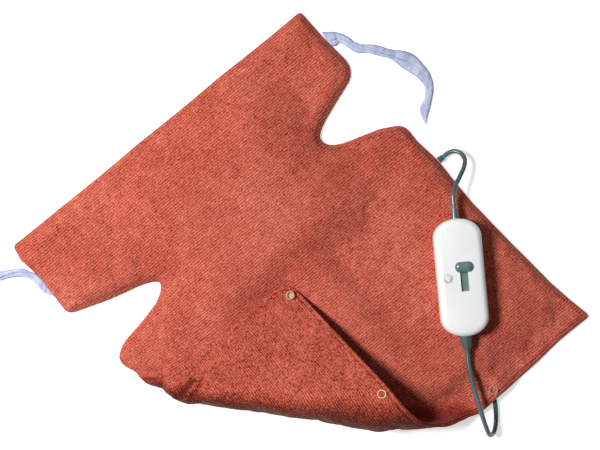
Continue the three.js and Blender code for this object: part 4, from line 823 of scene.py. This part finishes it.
def ribbon(name, outer, inner, node, seed, rows=150):
    """A limp satin ribbon between two edges, folded on itself along its length."""
    edges = []
    for line in (outer, inner):
        path = catmull([(x, y, 0) for x, y in line], 1.2)
        run = np.concatenate([[0], np.cumsum(np.linalg.norm(np.diff(path, axis=0), axis=1))])
        even = np.linspace(0, run[-1], rows)
        edges.append(np.column_stack([np.interp(even, run, path[:, k]) for k in (0, 1)]))
    middle = (edges[0] + edges[1]) / 2
    run = np.concatenate([[0], np.cumsum(np.linalg.norm(np.diff(middle, axis=0), axis=1))])
    verts, uvs = [], []
    for i in range(rows):
        wander = noise.noise(Vector((run[i] / 34, seed, 2.2)))
        fold = 0.5 + 0.34 * wander
        half = 0.10 + 0.09 * noise.noise(Vector((run[i] / 21, seed, 7.7)))
        half *= float(smooth(min(run[i], run[-1] - run[i]) / 12))
        section = [(0, 1.05), (fold * 0.35, 1.3), (fold * 0.7, 1.42), (fold, 1.5), (fold + half, 1.32),
                   (fold + half * 0.3, 0.95), (fold - half * 0.4, 0.75), (fold - half, 0.72), (fold, 0.5),
                   (fold + (1 - fold) * 0.3, 0.62), (fold + (1 - fold) * 0.65, 0.74), (1, 0.45)]
        flat_run = 0
        last = 0
        for u, z in section:
            flat_run += abs(u - last)
            last = u
            across = edges[0][i] + (edges[1][i] - edges[0][i]) * u
            swell = 0.9 * (0.5 + noise.noise(Vector((run[i] / 10, u * 1.6 + seed, 5.1))))
            swell += 0.95 * (0.4 + noise.noise(Vector((run[i] / 3.4 + u * 1.5, u * 2.6 + seed, 1.3))))
            rise = max(swell, 0) * float(smooth(min(u, 1 - u) / 0.25 + 0.35))
            verts.append((across[0] * MM, across[1] * MM, (z + rise) * MM))
            uvs.append((flat_run * 9 * MM, run[i] * MM))
    columns = len(section)
    quads = []
    for i in range(rows - 1):
        for k in range(columns - 1):
            a = i * columns + k
            quads.append((a, a + 1, a + columns + 1, a + columns))
    obj = new_object(name, verts, quads, RIBBON)
    layer = obj.data.uv_layers.new(name="flat")
    index = np.empty(len(obj.data.loops), int)
    obj.data.loops.foreach_get("vertex_index", index)
    layer.data.foreach_set("uv", np.array(uvs)[index].ravel())
    solid = obj.modifiers.new("thickness", "SOLIDIFY")
    solid.thickness = 0.3 * MM
    solid.offset = 0
    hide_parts(node)
    print(name, "length", round(run[-1], 1))


ribbon("ribbon_right", from_photo(RIGHT_OUTER), from_photo(RIGHT_INNER), "tie_ribbon_right", 1.7)
ribbon("ribbon_left", np.vstack([from_photo(LEFT_OUTER), offset_line(LEFT_BEYOND, 4.6)]),
       np.vstack([from_photo(LEFT_INNER), offset_line(LEFT_BEYOND, -4.6)]), "tie_ribbon_left", 6.3)


# Rigid pieces from the CAD nodes
def refined(node, name, material, angle, bevel, body="pad"):
    """A cleaned copy of a CAD node with smooth shading and softened edges, which stands for the node."""
    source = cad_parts[node]
    mesh = source.data.copy()
    mesh.name = name
    work = bmesh.new()
    work.from_mesh(mesh)
    bmesh.ops.remove_doubles(work, verts=work.verts, dist=1e-6)
    bmesh.ops.dissolve_limit(work, angle_limit=math.radians(0.6), verts=work.verts, edges=work.edges)
    for face in work.faces:
        face.smooth = True
    for edge in work.edges:
        if len(edge.link_faces) == 2:
            edge.smooth = edge.calc_face_angle() < math.radians(angle)
    work.to_mesh(mesh)
    work.free()
    mesh.materials.clear()
    mesh.materials.append(material)
    obj = bpy.data.objects.new(name, mesh)
    scene.collection.objects.link(obj)
    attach(obj, body)
    mod = obj.modifiers.new("edges", "BEVEL")
    mod.width = bevel * MM
    mod.segments = 3
    mod.limit_method = "ANGLE"
    mod.angle_limit = math.radians(angle)
    mod.harden_normals = True
    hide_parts(node)


refined("controller_top_shell", "housing_top", HOUSING, 34, 0.35)
refined("controller_bottom_shell", "housing_bottom", HOUSING, 34, 0.35)


def knob_form(name, node, half_length, half_width):
    """The slider's grip: a long dome with a slight waist, over the box of its CAD node."""
    low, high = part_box(node)
    centre = [(a + b) / 2 for a, b in zip(low, high)]
    base, height = low[2], high[2] - low[2]
    turn = Matrix.Rotation(math.radians(-34), 3, "Z")
    steps = 64
    profile = [(0.5, 0.0), (0.0, 0.07), (0.0, 0.32)]
    for t in np.linspace(0.12, 1.5, 12):
        profile.append((half_width * (1 - math.cos(t)), 0.32 + 0.68 * math.sin(t)))
    verts = []
    for inset, rise in profile:
        for k in range(steps):
            angle = 2 * math.pi * k / steps
            c, s = math.cos(angle), math.sin(angle)
            end = half_length - half_width
            waist = 1 - 0.07 * math.exp(-((c * half_length / 3.2) ** 2))
            x = math.copysign(end, c) * min(abs(c) * 4, 1) + (half_width - inset) * c
            y = (half_width - inset) * s * waist
            at = turn @ Vector((x * MM, y * MM, 0))
            verts.append((centre[0] + at.x, centre[1] + at.y, base + height * rise))
    faces = []
    for i in range(len(profile) - 1):
        for k in range(steps):
            a, b = i * steps + k, i * steps + (k + 1) % steps
            faces.append((a, b, b + steps, a + steps))
    faces.append(tuple(reversed(range(steps))))
    faces.append(tuple(range((len(profile) - 1) * steps, len(profile) * steps)))
    obj = new_object(name, verts, faces, SLIDER, body="slider")
    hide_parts(node)


knob_form("knob", "slider_knob", 9.75, 6.3)
refined("slider_plate", "shutter", PLATE, 34, 0.12, body="slider")


def lens_material(node):
    """A clear moulded cap: pale inside, with painted shade as grey rings, one inside the cap and one where it
    meets the housing, broken into arcs by pale patches.
    """
    low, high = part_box(node)
    n = Nodes("lens_cap")
    coords = n.add("TexCoord").outputs["Object"]
    level = n.add("VectorMath", {0: coords, 1: (1, 1, 0)}, operation="MULTIPLY").outputs["Vector"]
    centre = ((low[0] + high[0]) / 2, (low[1] + high[1]) / 2, 0)
    away = n.add("VectorMath", {0: level, 1: centre}, operation="DISTANCE").outputs["Value"]
    ring = n.add("MapRange", {"Value": away, "From Max": (high[0] - low[0]) / 2}).outputs[0]
    # Painted shade: a dark ring inside the clear cap and a grey ring at its edge, where it meets the housing.
    shape = n.ramp(ring, [(0.0, srgb(250, 250, 248)), (0.5, srgb(236, 238, 238)), (0.66, srgb(136, 142, 146)),
                          (0.78, srgb(228, 231, 232)), (0.9, srgb(150, 156, 160))])
    patches = n.ramp(n.noise(coords, 260, 1.0, 0.4), [(0.42, (0, 0, 0, 1)), (0.56, (1, 1, 1, 1))])
    n.link(n.mix(patches, srgb(246, 247, 246), shape), "Base Color")
    gloss = n.add("MapRange", {"Value": n.noise(coords, 90), "To Min": 0.08, "To Max": 0.16})
    n.link(gloss.outputs[0], "Roughness")
    n.set(Coat_Weight=0.7)
    return n.material


refined("pilot_lens", "lens", lens_material("pilot_lens"), 40, 0.2)
for node in ("strain_relief_pad", "strain_relief_mains", "pad_lead_gland", "plug_relief"):
    refined(node, node + "_form", FITTING, 40, 0.2)

NODE_LOOKS = {
    "inner_pad": FELT, "heating_wire": SLEEVE, "thermal": INNER, "lead_junction": INNER, "switch": INNER,
    "terminal": INNER, "cord_clamp": INNER, "coil_tie": INNER, "snap": BRASS, "inner_lead": CORD_MAT,
    "plug_body": FITTING, "plug_pin": PIN, "housing_screw": SCREW, "circuit_board": BOARD, "pilot_lamp": LAMP,
    "fuse": LAMP, "series_resistor": RESISTOR,
}
for name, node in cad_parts.items():
    if node.hide_render:
        continue
    look = next((m for key, m in NODE_LOOKS.items() if name.startswith(key)), INNER)
    node.data.materials.clear()
    node.data.materials.append(look)

# Floor, world and light
floor_nodes = Nodes("floor")
tree = floor_nodes.tree
tree.nodes.remove(floor_nodes.shader)
diffuse = floor_nodes.add("BsdfDiffuse", {"Color": (0.85, 0.85, 0.85, 1)})
glow = floor_nodes.add("Emission", {"Color": (1, 1, 1, 1), "Strength": 0.58})
path = floor_nodes.add("LightPath")
seen = floor_nodes.math("MAXIMUM", path.outputs["Is Camera Ray"], path.outputs["Is Glossy Ray"])
seen = floor_nodes.math("MAXIMUM", seen, path.outputs["Is Transmission Ray"])
none = floor_nodes.add("Emission", {"Strength": 0.0})
switch = floor_nodes.add("MixShader", {"Fac": seen, 1: none.outputs[0], 2: glow.outputs[0]})
both = floor_nodes.add("AddShader")
tree.links.new(diffuse.outputs[0], both.inputs[0])
tree.links.new(switch.outputs[0], both.inputs[1])
tree.links.new(both.outputs[0], tree.nodes["Material Output"].inputs["Surface"])
FLOOR_HALF, FLOOR_LEVEL = 6, -0.0004
corners = [(x * FLOOR_HALF, y * FLOOR_HALF, FLOOR_LEVEL) for x, y in ((-1, -1), (1, -1), (1, 1), (-1, 1))]
floor_mesh = bpy.data.meshes.new("floor")
floor_mesh.from_pydata(corners, [], [(0, 1, 2, 3)])
floor = bpy.data.objects.new("floor", floor_mesh)
floor.data.materials.append(floor_nodes.material)
scene.collection.objects.link(floor)

world = bpy.data.worlds.new("world")
world.use_nodes = True
background = world.node_tree.nodes["Background"]
background.inputs["Color"].default_value = (1, 1, 1, 1)
background.inputs["Strength"].default_value = 0.09
scene.world = world


def area_light(name, across, up_share, height, power, size):
    """A lamp placed by the photograph's right and up directions, aimed at the pad."""
    target = Vector((0.03, 0.0, 0.0))
    data = bpy.data.lights.new(name, "AREA")
    data.energy = power
    data.shape = "DISK"
    data.size = size
    obj = bpy.data.objects.new(name, data)
    obj.location = target + PHOTO_RIGHT * across + PHOTO_UP * up_share + Vector((0, 0, height))
    obj.rotation_euler = (target - obj.location).to_track_quat("-Z", "Y").to_euler()
    scene.collection.objects.link(obj)


area_light("key", -1.06, 0.18, 1.6, 42.0, 0.5)
area_light("fill", 0.5, 1.2, 1.7, 1.7, 1.2)
scene.view_settings.view_transform = "Standard"
